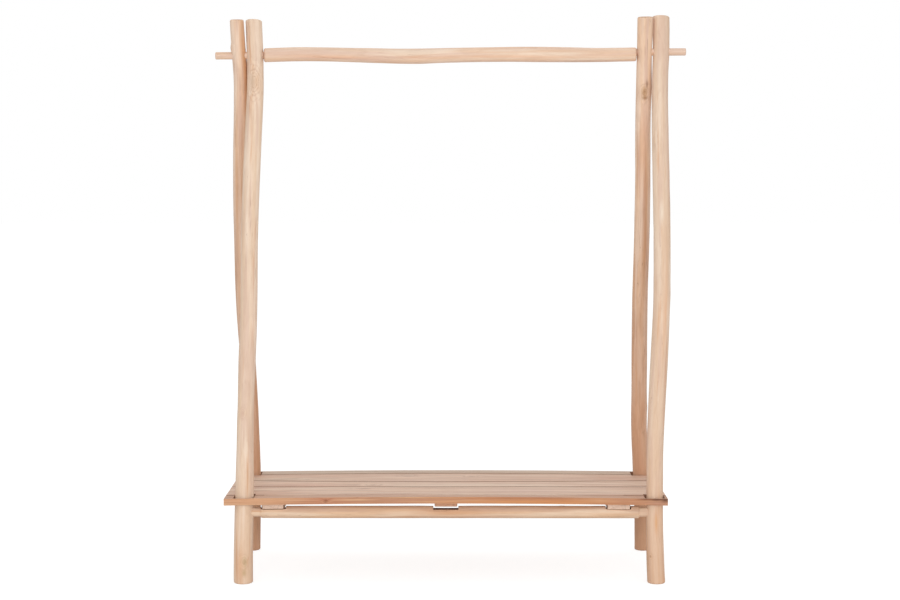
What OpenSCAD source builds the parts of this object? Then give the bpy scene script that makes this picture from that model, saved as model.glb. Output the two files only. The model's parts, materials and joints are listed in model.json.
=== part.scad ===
// Knock-down clothes rack of peeled teak branches.
//
// Two pairs of leaning legs cross on the round tenons of a hanging bar. A rail joins the two
// front legs and another the two rear legs, and a slatted shelf, bowed up a little in its
// middle, drops over all four legs and sits in saddle notches in the rails.
//
// Millimetres. +X runs to the right along the bar, +Y to the rear, +Z up. The origin lies on
// the floor in the middle of the rack.

/* [Stand] */
// Height of the bar's axis above the floor, half way along
bar_height = 1640.5; // [1200:0.5:1900]
// Depth over the feet, from the front of the front feet to the back of the rear feet
stand_depth = 520; // [380:5:700]
// Mean thickness of the leg branches
leg_d = 52; // [44:1:66]
// How far an average leg stands up past the bar's axis
leg_rise = 111; // [80:1:200]
// Air between the two crossing legs on the left
left_leg_gap = 2.8; // [2:0.1:20]
// Air between the two crossing legs on the right
right_leg_gap = 3.5; // [2:0.1:20]
// Bevel around the ends of the branches
end_bevel = 4; // [1:0.5:6]

/* [Hanging bar] */
// Mean thickness of the bar's body
bar_d = 45.5; // [40:1:55]
// Length of the bar's body, from shoulder to shoulder
bar_body = 1175.3; // [700:2:1500]
// Diameter of the tenons turned on the bar's ends
tenon_d = 23.5; // [16:0.5:24]
// How far a tenon sticks out past the outer leg
tenon_tip = 52; // [20:1:90]
// Bevel around a tenon's end
tenon_bevel = 2; // [0.5:0.5:5]
// How much slimmer a tenon's tip is on the radius, so that it enters the bores easily
tenon_lead = 0.2; // [0.1:0.05:0.5]
// Air between a shoulder and the inner leg
shoulder_gap = 2.5; // [2:0.5:10]
// Tilt of the bar's axis, up to the right, in degrees
bar_tilt = 0.49; // [0:0.01:1]

/* [Rails] */
// Mean thickness of the rails
rail_d = 38.5; // [32:1:46]
// Diameter of the tenons turned on the rails' ends
rail_tenon_d = 30; // [20:1:31]
// Turned neck that shows between a leg and the rail's body
rail_neck = 22; // [10:1:25]
// Wood left between the end of a mortise and the leg's far side
mortise_wall = 14; // [8:1:20]
// Bevel around a rail tenon's end
rail_tenon_bevel = 1; // [0.5:0.5:3]
// Depth of the saddle notches that the end cleats sit in, in the tops of the rails
notch_depth = 7.5; // [3:0.5:12]
// Depth of the notch that the middle cleat hangs clear in
middle_notch_depth = 9.5; // [3:0.5:14]

/* [Shelf] */
// Height of the shelf's top above the floor, at its middle
shelf_height = 269; // [180:1:420]
// Thickness of the boards
board_t = 21; // [12:0.5:28]
// How much higher the boards' middle is than their ends
bow = 6.5; // [0:0.5:14]
// Width of the narrow board along the front edge, at its middle
front_edge_w = 35; // [30:1:45]
// Width of the narrow board along the rear edge, at its middle
rear_edge_w = 58; // [40:1:65]
// Space between neighbouring boards
board_gap = 6; // [1:0.5:8]
// Wood between a leg and the shelf's front or rear edge
edge_margin = 13; // [11:0.5:30]
// Length of the boards past the outer side of the left legs
left_overhang = 17; // [10:1:40]
// Length of the boards past the outer side of the right legs
right_overhang = 11; // [10:1:40]
// Width of the cleats that the boards are screwed to
cleat_w = 72; // [45:1:80]
// Thickness of the end cleats, which carry the shelf
cleat_t = 17; // [14:0.5:28]
// Thickness of the middle cleat, which only ties the boards together
middle_cleat_t = 12; // [10:0.5:28]
// Space along the shelf between the end cleats and the nearest leg
cleat_leg_gap = 26; // [12:1:200]
// How far the cleats' ends stay back from the shelf's edges
cleat_inset = 10; // [4:1:30]

/* [Screws] */
// Diameter of a cleat screw's shank
screw_d = 4; // [3:0.5:5]
// Diameter of its countersunk head
screw_head_d = 8; // [6.5:0.5:10]
// Depth that a screw reaches into a board
screw_bite = 10; // [6:0.5:11]
// Distance of the screws from a cleat's centre line
screw_stagger = 12; // [4:1:16]

/* [Fits] */
// Air around the bar's tenon in its leg bores, on the radius
tenon_fit = 0.25; // [0.1:0.05:0.5]
// Air around a rail's tenon in its mortise, on the radius
mortise_fit = 0.1; // [0.05:0.05:0.3]
// Air between a leg and the front and rear sides of its hole in the shelf
hole_fit = 6; // [5:0.5:10]
// Air between a leg and the left and right sides of its hole
hole_side_fit = 3; // [2.5:0.5:8]
// How much wider the right legs' holes are towards the shelf's middle
hole_inner_room = 5; // [0:0.5:8]
// Air between a cleat and each side of its notch
notch_fit = 3; // [1:0.5:8]
// Air around a screw, on the radius
screw_fit = 0.05; // [0.02:0.01:0.1]

/* [Hidden] */
$fn = 64;

// The branches' natural shapes, as values at shares of their length. A leg drifts along X,
// measured from where the bar passes through it, and the bar and the rails drift along Z.
// Swells are what a branch is thicker than the mean.
LEG_SHARES = [0, 0.07, 0.16, 0.24, 0.31, 0.38, 0.48, 0.6, 0.7, 0.8, 0.87, 0.91, 0.94, 1];
FRONT_LEFT_DRIFT = [-25, -26, -23.5, -22.5, -21.5, -19, -14, -13.5, -10, -3, 1.5, 1.5, 0, -5];
FRONT_LEFT_SWELL = [7.5, 7, 5.5, 1, -2.5, 2, 1, 0.5, 1.5, 1.5, 0.5, 0, 0, -0.5];
REAR_LEFT_DRIFT = [1.5, 5.5, 10.5, 9, 7, 2.5, -5.5, -7, -5.5, 0, 4.5, 4, 0, -4.5];
REAR_LEFT_SWELL = [2, 2, 0, -1, -2, -2, -2, -3, -3, -4, -5, -5.5, -8, -8.5];
FRONT_RIGHT_DRIFT = [-27.5, -31, -30, -28, -21.5, -14.5, -5, -1.5, -3, -5, -5, -2.5, 0, -0.5];
FRONT_RIGHT_SWELL = [3.5, 1.5, -1, 0, 2, 3, 0.5, 1, 1.5, 0.5, -1.5, -1.5, 0, 3];
REAR_RIGHT_DRIFT = [34, 31, 21, 12, 9.5, 7.5, 5, 6, 5, 1, 0.5, 0, 0, 0.5];
REAR_RIGHT_SWELL = [2, 2, 1, 0, -1.5, -1, -1.5, -2, -3, -3.5, -3.5, -4, -5, -2.5];
BAR_SHARES = [0, 0.1, 0.2, 0.3, 0.4, 0.5, 0.6, 0.7, 0.8, 0.9, 1];
BAR_DRIFT = [0.5, 3, 0.5, -3.5, -7, -4.5, -3.5, -3.5, -5.5, -7.5, -6.5];
BAR_SWELL = [-2, -1.5, -1.5, 0.5, 1.5, 1, 0.5, 2, 2, -1, -2.5];
RAIL_SHARES = [0, 0.3, 0.6, 1];
FRONT_RAIL_DRIFT = [0, 0, 0, -0.5];
FRONT_RAIL_SWELL = [-0.5, 0, 0.5, 0];
REAR_RAIL_DRIFT = [0, 1, -1, 0];
REAR_RAIL_SWELL = [0, 1, 0, -1];

// Knots. A row is [share of the length, angle around the branch, bulge, reach along and across].
FRONT_LEFT_KNOTS = [[0.86, 290, 1.5, 30], [0.29, 200, 1.5, 25], [0.03, 250, 1.5, 18]];
REAR_LEFT_KNOTS = [[0.95, 190, 3, 22], [0.4, 300, 2, 28]];
FRONT_RIGHT_KNOTS = [[0.5, 320, 2, 30], [0.04, 265, 1.5, 20]];
REAR_RIGHT_KNOTS = [[0.87, 350, 2, 26], [0.28, 10, 2, 26]];
BAR_KNOTS = [[0.28, 90, 1.5, 30], [0.4, 250, 2, 35], [0.73, 60, 1.5, 28]];
RAIL_KNOTS = [[0.42, 180, 1, 25]];

// Branch meshes: points around a ring, and the largest distance between rings
BRANCH_SIDES = 20;
LEG_RING_STEP = 55;
BAR_RING_STEP = 35;
RAIL_RING_STEP = 60;
// Height over which a leg's cross-sections turn from level at the floor to square to the leg
FOOT_TURN = 300;

// Shares of the shelf's depth, between its edge boards, that the three wide boards take
BOARD_SHARES = [0.36, 0.23, 0.41];
// How much further back each board's rear side lies at the shelf's ends
REAR_BENDS = [20, 33, 55, 5, 10];
BOARD_SEGMENTS = 25;
// Screws across a wide board and across an edge board
SCREW_PLACES = [[0.5], [0.25, 0.75], [0.25, 0.75], [0.25, 0.75], [0.5]];
SCREW_TIP = 3;
// Distance from the outer leg at which a tenon's slimmer tip starts
TIP_START = 1;
// More than the boards are thick, and more than the shelf is deep, for cuts that pass through
CUT = 100;
WIDE_CUT = 1000;
// Air at the bottom of a rail's mortise, and how far other cuts and joins run on
PASS = 0.5;

// ---- Smooth curves ----

// Index of the last share that isn't past s
function place(shares, s, i = 0) =
    i >= len(shares) - 2 || s < shares[i + 1] ? i : place(shares, s, i + 1);

// Slope of the values at share i
function slope(shares, values, i) =
    let (a = max(i - 1, 0), b = min(i + 1, len(shares) - 1))
    (values[b] - values[a]) / (shares[b] - shares[a]);

// Value at s, on cubics that run smoothly through the values at the shares
function smooth(shares, values, s) =
    let (i = place(shares, s), w = shares[i + 1] - shares[i], t = (s - shares[i]) / w)
    (2 * t^3 - 3 * t^2 + 1) * values[i] + (t^3 - 2 * t^2 + t) * w * slope(shares, values, i)
    + (3 * t^2 - 2 * t^3) * values[i + 1] + (t^3 - t^2) * w * slope(shares, values, i + 1);

// ---- Branches ----

// Positions of the rings along a length, with one more a bevel in from each end
function stations(length, step) =
    let (n = ceil((length - 2 * end_bevel) / step))
    [0, for (i = [0:n]) end_bevel + i * (length - 2 * end_bevel) / n, length];

// Smallest angle between two directions
function turn(a, b) = abs((a - b + 540) % 360 - 180);

// Swelling of the skin from all knots, at share s of the length and angle a
function swelling(knots, s, a, length, r) = len(knots) == 0 ? 0 :
    [for (k = knots) k[2] * exp(-((s - k[0]) * length / k[3])^2 - (turn(a, k[1]) * PI / 180 * r / k[3])^2)]
    * [for (k = knots) 1];

// Points of one ring, in a plane tilted by cut, on an axis that leans by lean
function ring(centre, radii, lean, cut) =
    [for (j = [0:BRANCH_SIDES - 1]) let (a = j * 360 / BRANCH_SIDES, q = radii[j] / cos(lean - cut))
        centre + [radii[j] * cos(a), q * sin(a) * cos(cut), -q * sin(a) * sin(cut)]];

// Solid through a list of rings that all have BRANCH_SIDES points
module skin(rings) {
    n = BRANCH_SIDES;
    last = (len(rings) - 1) * n;
    polyhedron(
        points = [for (r = rings) each r],
        faces = [
            [for (j = [0:n - 1]) j],
            [for (j = [n - 1:-1:0]) last + j],
            for (i = [0:len(rings) - 2]) for (j = [0:n - 1]) each
                let (a = i * n + j, b = i * n + (j + 1) % n) [[a, a + n, b + n], [a, b + n, b]]
        ],
        convexity = 4);
}

// Radii around a branch at share s of its length, where its mean radius is r
function radii(knots, s, length, r) =
    [for (j = [0:BRANCH_SIDES - 1]) r + swelling(knots, s, j * 360 / BRANCH_SIDES, length, r)];

// How much a branch is drawn in at position z, which is its bevel at both ends
function drawn_in(z, length) = z == 0 || z == length ? end_bevel : 0;

// A branch that lies along +X from the origin, with its drift along Z
module lying_branch(shares, drift, swell, knots, mean_d, length, step) {
    rotate([0, 90, 0])
        skin([for (z = stations(length, step))
            let (s = z / length, r = (mean_d + smooth(shares, swell, s)) / 2 - drawn_in(z, length))
            ring([-smooth(shares, drift, s), 0, z], radii(knots, s, length, r), 0, 0)]);
}

// ---- The bar's axis and where the legs cross it ----

// A leg's drift, swell, knots, side (-1 left, 1 right), face (-1 front, 1 rear), height more
// than the average leg's, and whether it is the outer one of its pair
FRONT_LEFT = [FRONT_LEFT_DRIFT, FRONT_LEFT_SWELL, FRONT_LEFT_KNOTS, -1, -1, -5.5, false];
REAR_LEFT = [REAR_LEFT_DRIFT, REAR_LEFT_SWELL, REAR_LEFT_KNOTS, -1, 1, -5.5, true];
FRONT_RIGHT = [FRONT_RIGHT_DRIFT, FRONT_RIGHT_SWELL, FRONT_RIGHT_KNOTS, 1, -1, 6, true];
REAR_RIGHT = [REAR_RIGHT_DRIFT, REAR_RIGHT_SWELL, REAR_RIGHT_KNOTS, 1, 1, 3, false];
LEGS = [FRONT_LEFT, REAR_LEFT, FRONT_RIGHT, REAR_RIGHT];
function knots(leg) = leg[2];
function side(leg) = leg[3];
function face(leg) = leg[4];
function leg_top(leg) = bar_height + leg_rise + leg[5];
function is_outer(leg) = leg[6];

function leg_drift(leg, z) = smooth(LEG_SHARES, leg[0], z / leg_top(leg));
function leg_r(leg, z) = (leg_d + smooth(LEG_SHARES, leg[1], z / leg_top(leg))) / 2;
function bar_r(leg) = leg_r(leg, bar_height);
function leg_gap(leg) = side(leg) < 0 ? left_leg_gap : right_leg_gap;

// Length of bar from a shoulder to the tip of the tenon, through both legs of a pair
function stack(inner, outer) = shoulder_gap + 2 * bar_r(inner) + leg_gap(inner) + 2 * bar_r(outer) + tenon_tip;
left_stack = stack(FRONT_LEFT, REAR_LEFT);
right_stack = stack(REAR_RIGHT, FRONT_RIGHT);
bar_length = left_stack + bar_body + right_stack;
left_shoulder = left_stack - bar_length / 2;
right_shoulder = bar_length / 2 - right_stack;

// X of the leg's centre where the bar passes through it
function bar_x(leg) =
    let (inner = side(leg) < 0 ? FRONT_LEFT : REAR_RIGHT,
        shoulder = side(leg) < 0 ? -left_shoulder : right_shoulder,
        out = is_outer(leg) ? 2 * bar_r(inner) + leg_gap(leg) : 0)
    side(leg) * (shoulder + shoulder_gap + out + bar_r(leg));

// Y of the leg's centre, which is over the middle where the bar passes, and its lean
function foot_y(leg) = face(leg) * (stand_depth / 2 - leg_r(leg, 0));
function leg_y(leg, z) = foot_y(leg) * (1 - z / bar_height);
function leg_lean(leg) = -atan(foot_y(leg) / bar_height);
function leg_x(leg, z) = bar_x(leg) + leg_drift(leg, z) - leg_drift(leg, bar_height);

module leg(leg) {
    top = leg_top(leg);
    lean = leg_lean(leg);
    difference() {
        skin([for (z = stations(top, LEG_RING_STEP))
            let (r = leg_r(leg, z) - drawn_in(z, top))
            ring([leg_x(leg, z), leg_y(leg, z), z], radii(knots(leg), z / top, top, r),
                lean, lean * min(1, z / FOOT_TURN))]);
        on_bar_axis() cylinder(d = tenon_d + 2 * tenon_fit, h = bar_length + 2 * PASS, center = true);
        mortise(leg);
    }
}

// Puts a thing that is drawn along Z on the bar's tilted axis
module on_bar_axis() {
    translate([0, 0, bar_height]) rotate([0, 90 - bar_tilt, 0]) children();
}

// ---- Hanging bar ----

module bar() {
    // Lengths along the tilted axis
    left = left_shoulder / cos(bar_tilt);
    right = right_shoulder / cos(bar_tilt);
    half = bar_length / 2 / cos(bar_tilt);
    translate([0, 0, bar_height]) rotate([0, -bar_tilt, 0]) {
        translate([left, 0, 0])
            lying_branch(BAR_SHARES, BAR_DRIFT, BAR_SWELL, BAR_KNOTS, bar_d, right - left, BAR_RING_STEP);
        for (end = [[-1, left], [1, right]])
            translate([end[1] - end[0] * bar_d / 2, 0, 0]) rotate([0, end[0] * 90, 0])
                tenon(half - abs(end[1]) + bar_d / 2);
    }
}

// A bar tenon along +Z. Its slimmer tip starts just past the outer leg.
module tenon(length) {
    cylinder(r = tenon_d / 2, h = length - tenon_tip + TIP_START);
    bevelled_pin(tenon_d / 2 - tenon_lead, length, tenon_bevel);
}

// A round pin along +Z, bevelled at its far end
module bevelled_pin(r, length, bevel) {
    rotate_extrude()
        polygon([[0, 0], [r, 0], [r, length - bevel], [r - bevel, length], [0, length]]);
}

// ---- Where the shelf's boards lie ----

// The boards run from past the left legs to past the right ones
function outer_side(leg) = side(leg) * leg_x(leg, shelf_height) + leg_r(leg, shelf_height);
function inner_side(leg) = side(leg) * leg_x(leg, shelf_height) - leg_r(leg, shelf_height);
shelf_left = -max(outer_side(FRONT_LEFT), outer_side(REAR_LEFT)) - left_overhang;
shelf_right = max(outer_side(FRONT_RIGHT), outer_side(REAR_RIGHT)) + right_overhang;
shelf_x = (shelf_left + shelf_right) / 2;
shelf_half = (shelf_right - shelf_left) / 2;

// The end cleats are as far from the middle one as the nearest leg lets them be
cleat_spacing = min([for (leg = LEGS) inner_side(leg) - side(leg) * shelf_x]) - cleat_leg_gap - cleat_w / 2;

// Height of the boards' top at x
function arc_z(x) = shelf_height - bow * ((x - shelf_x) / shelf_half)^2;

function outer_face(leg) = face(leg) * leg_y(leg, shelf_height) + leg_r(leg, shelf_height);
shelf_front = -max(outer_face(FRONT_LEFT), outer_face(FRONT_RIGHT)) - edge_margin;
shelf_rear = max(outer_face(REAR_LEFT), outer_face(REAR_RIGHT)) + edge_margin;

wide_depth = shelf_rear - shelf_front - front_edge_w - rear_edge_w - (len(REAR_BENDS) - 1) * board_gap;
BOARD_WIDTHS = [front_edge_w, for (s = BOARD_SHARES) s * wide_depth, rear_edge_w];

// Front side of board i, half way along
function board_front(i) = i == 0 ? shelf_front : board_front(i - 1) + BOARD_WIDTHS[i - 1] + board_gap;
function rear_bend(i) = i < 0 ? 0 : REAR_BENDS[i];

// Front and rear side of board i at x
function front_side(i, x) = board_front(i) + rear_bend(i - 1) * ((x - shelf_x) / shelf_half)^2;
function rear_side(i, x) =
    board_front(i) + BOARD_WIDTHS[i] + rear_bend(i) * ((x - shelf_x) / shelf_half)^2;

// ---- Rails ----

function thickness(cleat) = cleat == 0 ? middle_cleat_t : cleat_t;

// The end cleats sit on the floors of their notches
seat_z = arc_z(shelf_x + cleat_spacing) - board_t - cleat_t;
rail_z = seat_z + notch_depth - rail_d / 2;

// Inner side of a leg at the rails' height, and the end of its mortise
function leg_side(leg) = leg_x(leg, rail_z) - side(leg) * leg_r(leg, rail_z);
function mortise_end(leg) = leg_x(leg, rail_z) + side(leg) * (leg_r(leg, rail_z) - mortise_wall);

// Y of a rail, midway between its two legs' centres
function rail_y(face) =
    let (pair = [for (leg = LEGS) if (face(leg) == face) leg_y(leg, rail_z)]) (pair[0] + pair[1]) / 2;

module mortise(leg) {
    mouth = leg_side(leg) - side(leg) * leg_d / 2;
    translate([mouth, rail_y(face(leg)), rail_z]) rotate([0, side(leg) * 90, 0])
        cylinder(r = rail_tenon_d / 2 + mortise_fit, h = abs(mortise_end(leg) - mouth));
}

module rail(left, right, drift, swell) {
    y = rail_y(face(left));
    start = leg_side(left) + rail_neck;
    end = leg_side(right) - rail_neck;
    difference() {
        union() {
            translate([start, y, rail_z])
                lying_branch(RAIL_SHARES, drift, swell, RAIL_KNOTS, rail_d, end - start, RAIL_RING_STEP);
            translate([0, y, rail_z]) rail_tenon(left, start);
            translate([0, y, rail_z]) rail_tenon(right, end);
        }
        for (i = [-1:1]) notch(i, y);
    }
}

// Round tenon from inside the rail's body, which ends at x, to the bottom of the mortise
module rail_tenon(leg, x) {
    translate([x - side(leg) * rail_d, 0, 0]) rotate([0, side(leg) * 90, 0])
        bevelled_pin(rail_tenon_d / 2, abs(x - mortise_end(leg)) + rail_d - PASS, rail_tenon_bevel);
}

// Saddle notch for cleat i: the end cleats sit on its floor, and the middle one hangs clear
module notch(i, y) {
    w = cleat_w + 2 * notch_fit;
    if (i == 0)
        translate([shelf_x - w / 2, y - rail_d, rail_z + rail_d / 2 - middle_notch_depth])
            cube([w, 2 * rail_d, rail_d]);
    else
        at_cleat(i) translate([-w / 2, y - rail_d, -thickness(i)]) cube([w, 2 * rail_d, rail_d]);
}

// ---- Shelf ----

function board_xs() = [for (k = [0:BOARD_SEGMENTS]) shelf_x + shelf_half * (2 * k / BOARD_SEGMENTS - 1)];

// The space of all the boards seen from the front, from a height above the arc down to it
module arc_slab(below, above) {
    xs = board_xs();
    n = BOARD_SEGMENTS;
    translate([0, WIDE_CUT / 2, 0]) rotate([90, 0, 0]) linear_extrude(WIDE_CUT)
        polygon([for (x = xs) [x, arc_z(x) - below], for (k = [n:-1:0]) [xs[k], arc_z(xs[k]) + above]]);
}

module board(i) {
    xs = board_xs();
    n = BOARD_SEGMENTS;
    difference() {
        intersection() {
            linear_extrude(shelf_height + CUT)
                polygon([for (x = xs) [x, front_side(i, x)],
                    for (k = [n:-1:0]) [xs[k], rear_side(i, xs[k])]]);
            arc_slab(board_t, 0);
        }
        for (leg = LEGS) leg_hole(leg);
        for (c = [-1:1]) board_screws(c, i, screw_fit);
    }
}

// Hole that a leg stands in, square on the leg half way through the boards
module leg_hole(leg) {
    z = arc_z(leg_x(leg, shelf_height)) - board_t / 2;
    room = side(leg) < 0 ? 0 : hole_inner_room;
    half_x = leg_r(leg, z) + hole_side_fit;
    half_y = leg_r(leg, z) + hole_fit;
    translate([leg_x(leg, z) - half_x - room, leg_y(leg, z) - half_y, z - CUT / 2])
        cube([2 * half_x + room, 2 * half_y, CUT]);
}

// Puts a thing at cleat i, with z 0 at the boards' underside and its plane along the bow
module at_cleat(i) {
    x = shelf_x + i * cleat_spacing;
    translate([x, 0, arc_z(x) - board_t]) rotate([0, atan(2 * bow * i * cleat_spacing / shelf_half^2), 0])
        children();
}

module cleat(i) {
    length = shelf_rear - shelf_front - 2 * cleat_inset;
    difference() {
        at_cleat(i) translate([-cleat_w / 2, shelf_front + cleat_inset, -thickness(i)])
            cube([cleat_w, length, thickness(i) + PASS]);
        arc_slab(board_t, CUT);
        for (b = [0:len(BOARD_WIDTHS) - 1]) board_screws(i, b, screw_fit);
    }
}

// The screws of cleat c in board b, grown by some air. They are staggered in turn.
module board_screws(c, b, air = 0) {
    x = shelf_x + c * cleat_spacing;
    front = front_side(b, x);
    width = rear_side(b, x) - front;
    for (k = [0:len(SCREW_PLACES[b]) - 1])
        at_cleat(c) translate([(k + b) % 2 == 0 ? -screw_stagger : screw_stagger,
            front + SCREW_PLACES[b][k] * width, -thickness(c)]) screw(thickness(c) + screw_bite, air);
}

// Countersunk screw that points up, with its head flush at z 0, grown by some air
module screw(length, air) {
    r = screw_d / 2 + air;
    head = screw_head_d / 2 + air;
    tip = length + air;
    rotate_extrude()
        polygon([[0, 0], [head, 0], [r, head - r], [r, tip - SCREW_TIP], [0, tip]]);
}

module cleat_screws(c) {
    for (b = [0:len(BOARD_WIDTHS) - 1]) board_screws(c, b);
}

// ---- The rack's pieces ----

LEG_COLOUR = [0.88, 0.76, 0.64];
REAR_LEG_COLOUR = [0.80, 0.66, 0.52];
RAIL_COLOUR = [0.86, 0.73, 0.62];
BOARD_COLOUR = [0.81, 0.69, 0.61];
EDGE_COLOUR = [0.80, 0.58, 0.42];

module front_left_leg() { color(LEG_COLOUR) leg(FRONT_LEFT); }
module rear_left_leg() { color(REAR_LEG_COLOUR) leg(REAR_LEFT); }
module front_right_leg() { color(LEG_COLOUR) leg(FRONT_RIGHT); }
module rear_right_leg() { color(REAR_LEG_COLOUR) leg(REAR_RIGHT); }
module hanging_bar() { color(LEG_COLOUR) bar(); }
module front_rail() {
    color(RAIL_COLOUR) rail(FRONT_LEFT, FRONT_RIGHT, FRONT_RAIL_DRIFT, FRONT_RAIL_SWELL);
}
module rear_rail() { color(RAIL_COLOUR) rail(REAR_LEFT, REAR_RIGHT, REAR_RAIL_DRIFT, REAR_RAIL_SWELL); }
module front_edge_board() { color(EDGE_COLOUR) board(0); }
module front_board() { color(BOARD_COLOUR) board(1); }
module centre_board() { color(BOARD_COLOUR) board(2); }
module rear_board() { color(BOARD_COLOUR) board(3); }
module rear_edge_board() { color(BOARD_COLOUR) board(4); }
module left_cleat() { color(EDGE_COLOUR) cleat(-1); }
module middle_cleat() { color(EDGE_COLOUR) cleat(0); }
module right_cleat() { color(EDGE_COLOUR) cleat(1); }
module left_cleat_screws() { color("silver") cleat_screws(-1); }
module middle_cleat_screws() { color("silver") cleat_screws(0); }
module right_cleat_screws() { color("silver") cleat_screws(1); }

front_left_leg();
rear_left_leg();
front_right_leg();
rear_right_leg();
hanging_bar();
front_rail();
rear_rail();
front_edge_board();
front_board();
centre_board();
rear_board();
rear_edge_board();
left_cleat();
middle_cleat();
right_cleat();
left_cleat_screws();
middle_cleat_screws();
right_cleat_screws();
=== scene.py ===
"""A clothes rack of peeled teak branches with a slatted shelf, dressed from its solids.

Sizes and places are read off the frame. Each branch is surveyed with rays, built again as a finer
skin on the same axis, hewn, and cut where its solid is cut. Boards and battens keep their solids'
shape and get eased, slightly uneven edges, and the screws get driven heads.
"""

import sys
import json
import logging
import math
from dataclasses import dataclass, field, replace
from enum import Enum
from typing import Callable, Iterable, Sequence, Union

import bmesh
import bpy
import numpy as np
from mathutils import Matrix, Vector, noise
from mathutils.bvhtree import BVHTree


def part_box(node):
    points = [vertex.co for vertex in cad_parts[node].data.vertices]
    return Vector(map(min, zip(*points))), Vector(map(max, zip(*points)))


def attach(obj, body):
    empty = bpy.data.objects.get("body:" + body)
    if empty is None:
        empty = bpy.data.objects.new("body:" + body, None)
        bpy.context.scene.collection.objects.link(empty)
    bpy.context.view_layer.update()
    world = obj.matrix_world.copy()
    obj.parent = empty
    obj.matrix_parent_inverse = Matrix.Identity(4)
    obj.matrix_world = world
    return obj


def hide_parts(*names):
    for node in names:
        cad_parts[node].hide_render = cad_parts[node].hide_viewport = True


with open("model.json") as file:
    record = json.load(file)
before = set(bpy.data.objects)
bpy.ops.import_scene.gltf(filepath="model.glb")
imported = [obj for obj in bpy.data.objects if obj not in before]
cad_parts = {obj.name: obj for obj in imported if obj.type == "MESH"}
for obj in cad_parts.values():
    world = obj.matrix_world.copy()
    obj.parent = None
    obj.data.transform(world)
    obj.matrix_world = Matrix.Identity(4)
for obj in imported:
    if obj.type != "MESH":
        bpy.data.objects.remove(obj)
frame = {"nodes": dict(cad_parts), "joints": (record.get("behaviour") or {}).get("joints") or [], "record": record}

LOG = logging.getLogger("rack")

Socket = bpy.types.NodeSocket
Value = Union[float, Sequence[float], Socket]

UP = Vector((0.0, 0.0, 1.0))
RIGHT = Vector((1.0, 0.0, 0.0))

# What a branch's mesh stores: its straightened coordinates, and how much of it is hewn.
LOG_ATTRIBUTE = "log"
ROUGH_ATTRIBUTE = "hewn"


# ---- Wiring ----


def tone(code: str) -> tuple[float, float, float, float]:
    """Turn a paint chart code such as "e1c3a5" into a linear colour.

    Args:
        code: Red, green and blue as six hexadecimal digits.

    Returns:
        The linear colour, with full alpha.
    """
    parts = [int(code[i : i + 2], 16) / 255 for i in (0, 2, 4)]
    linear = [p / 12.92 if p <= 0.04045 else ((p + 0.055) / 1.055) ** 2.4 for p in parts]
    return (linear[0], linear[1], linear[2], 1.0)


def grey(level: float) -> tuple[float, float, float, float]:
    """Return a linear grey, from 0 for black to 1 for white."""
    return (level, level, level, 1.0)


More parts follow.
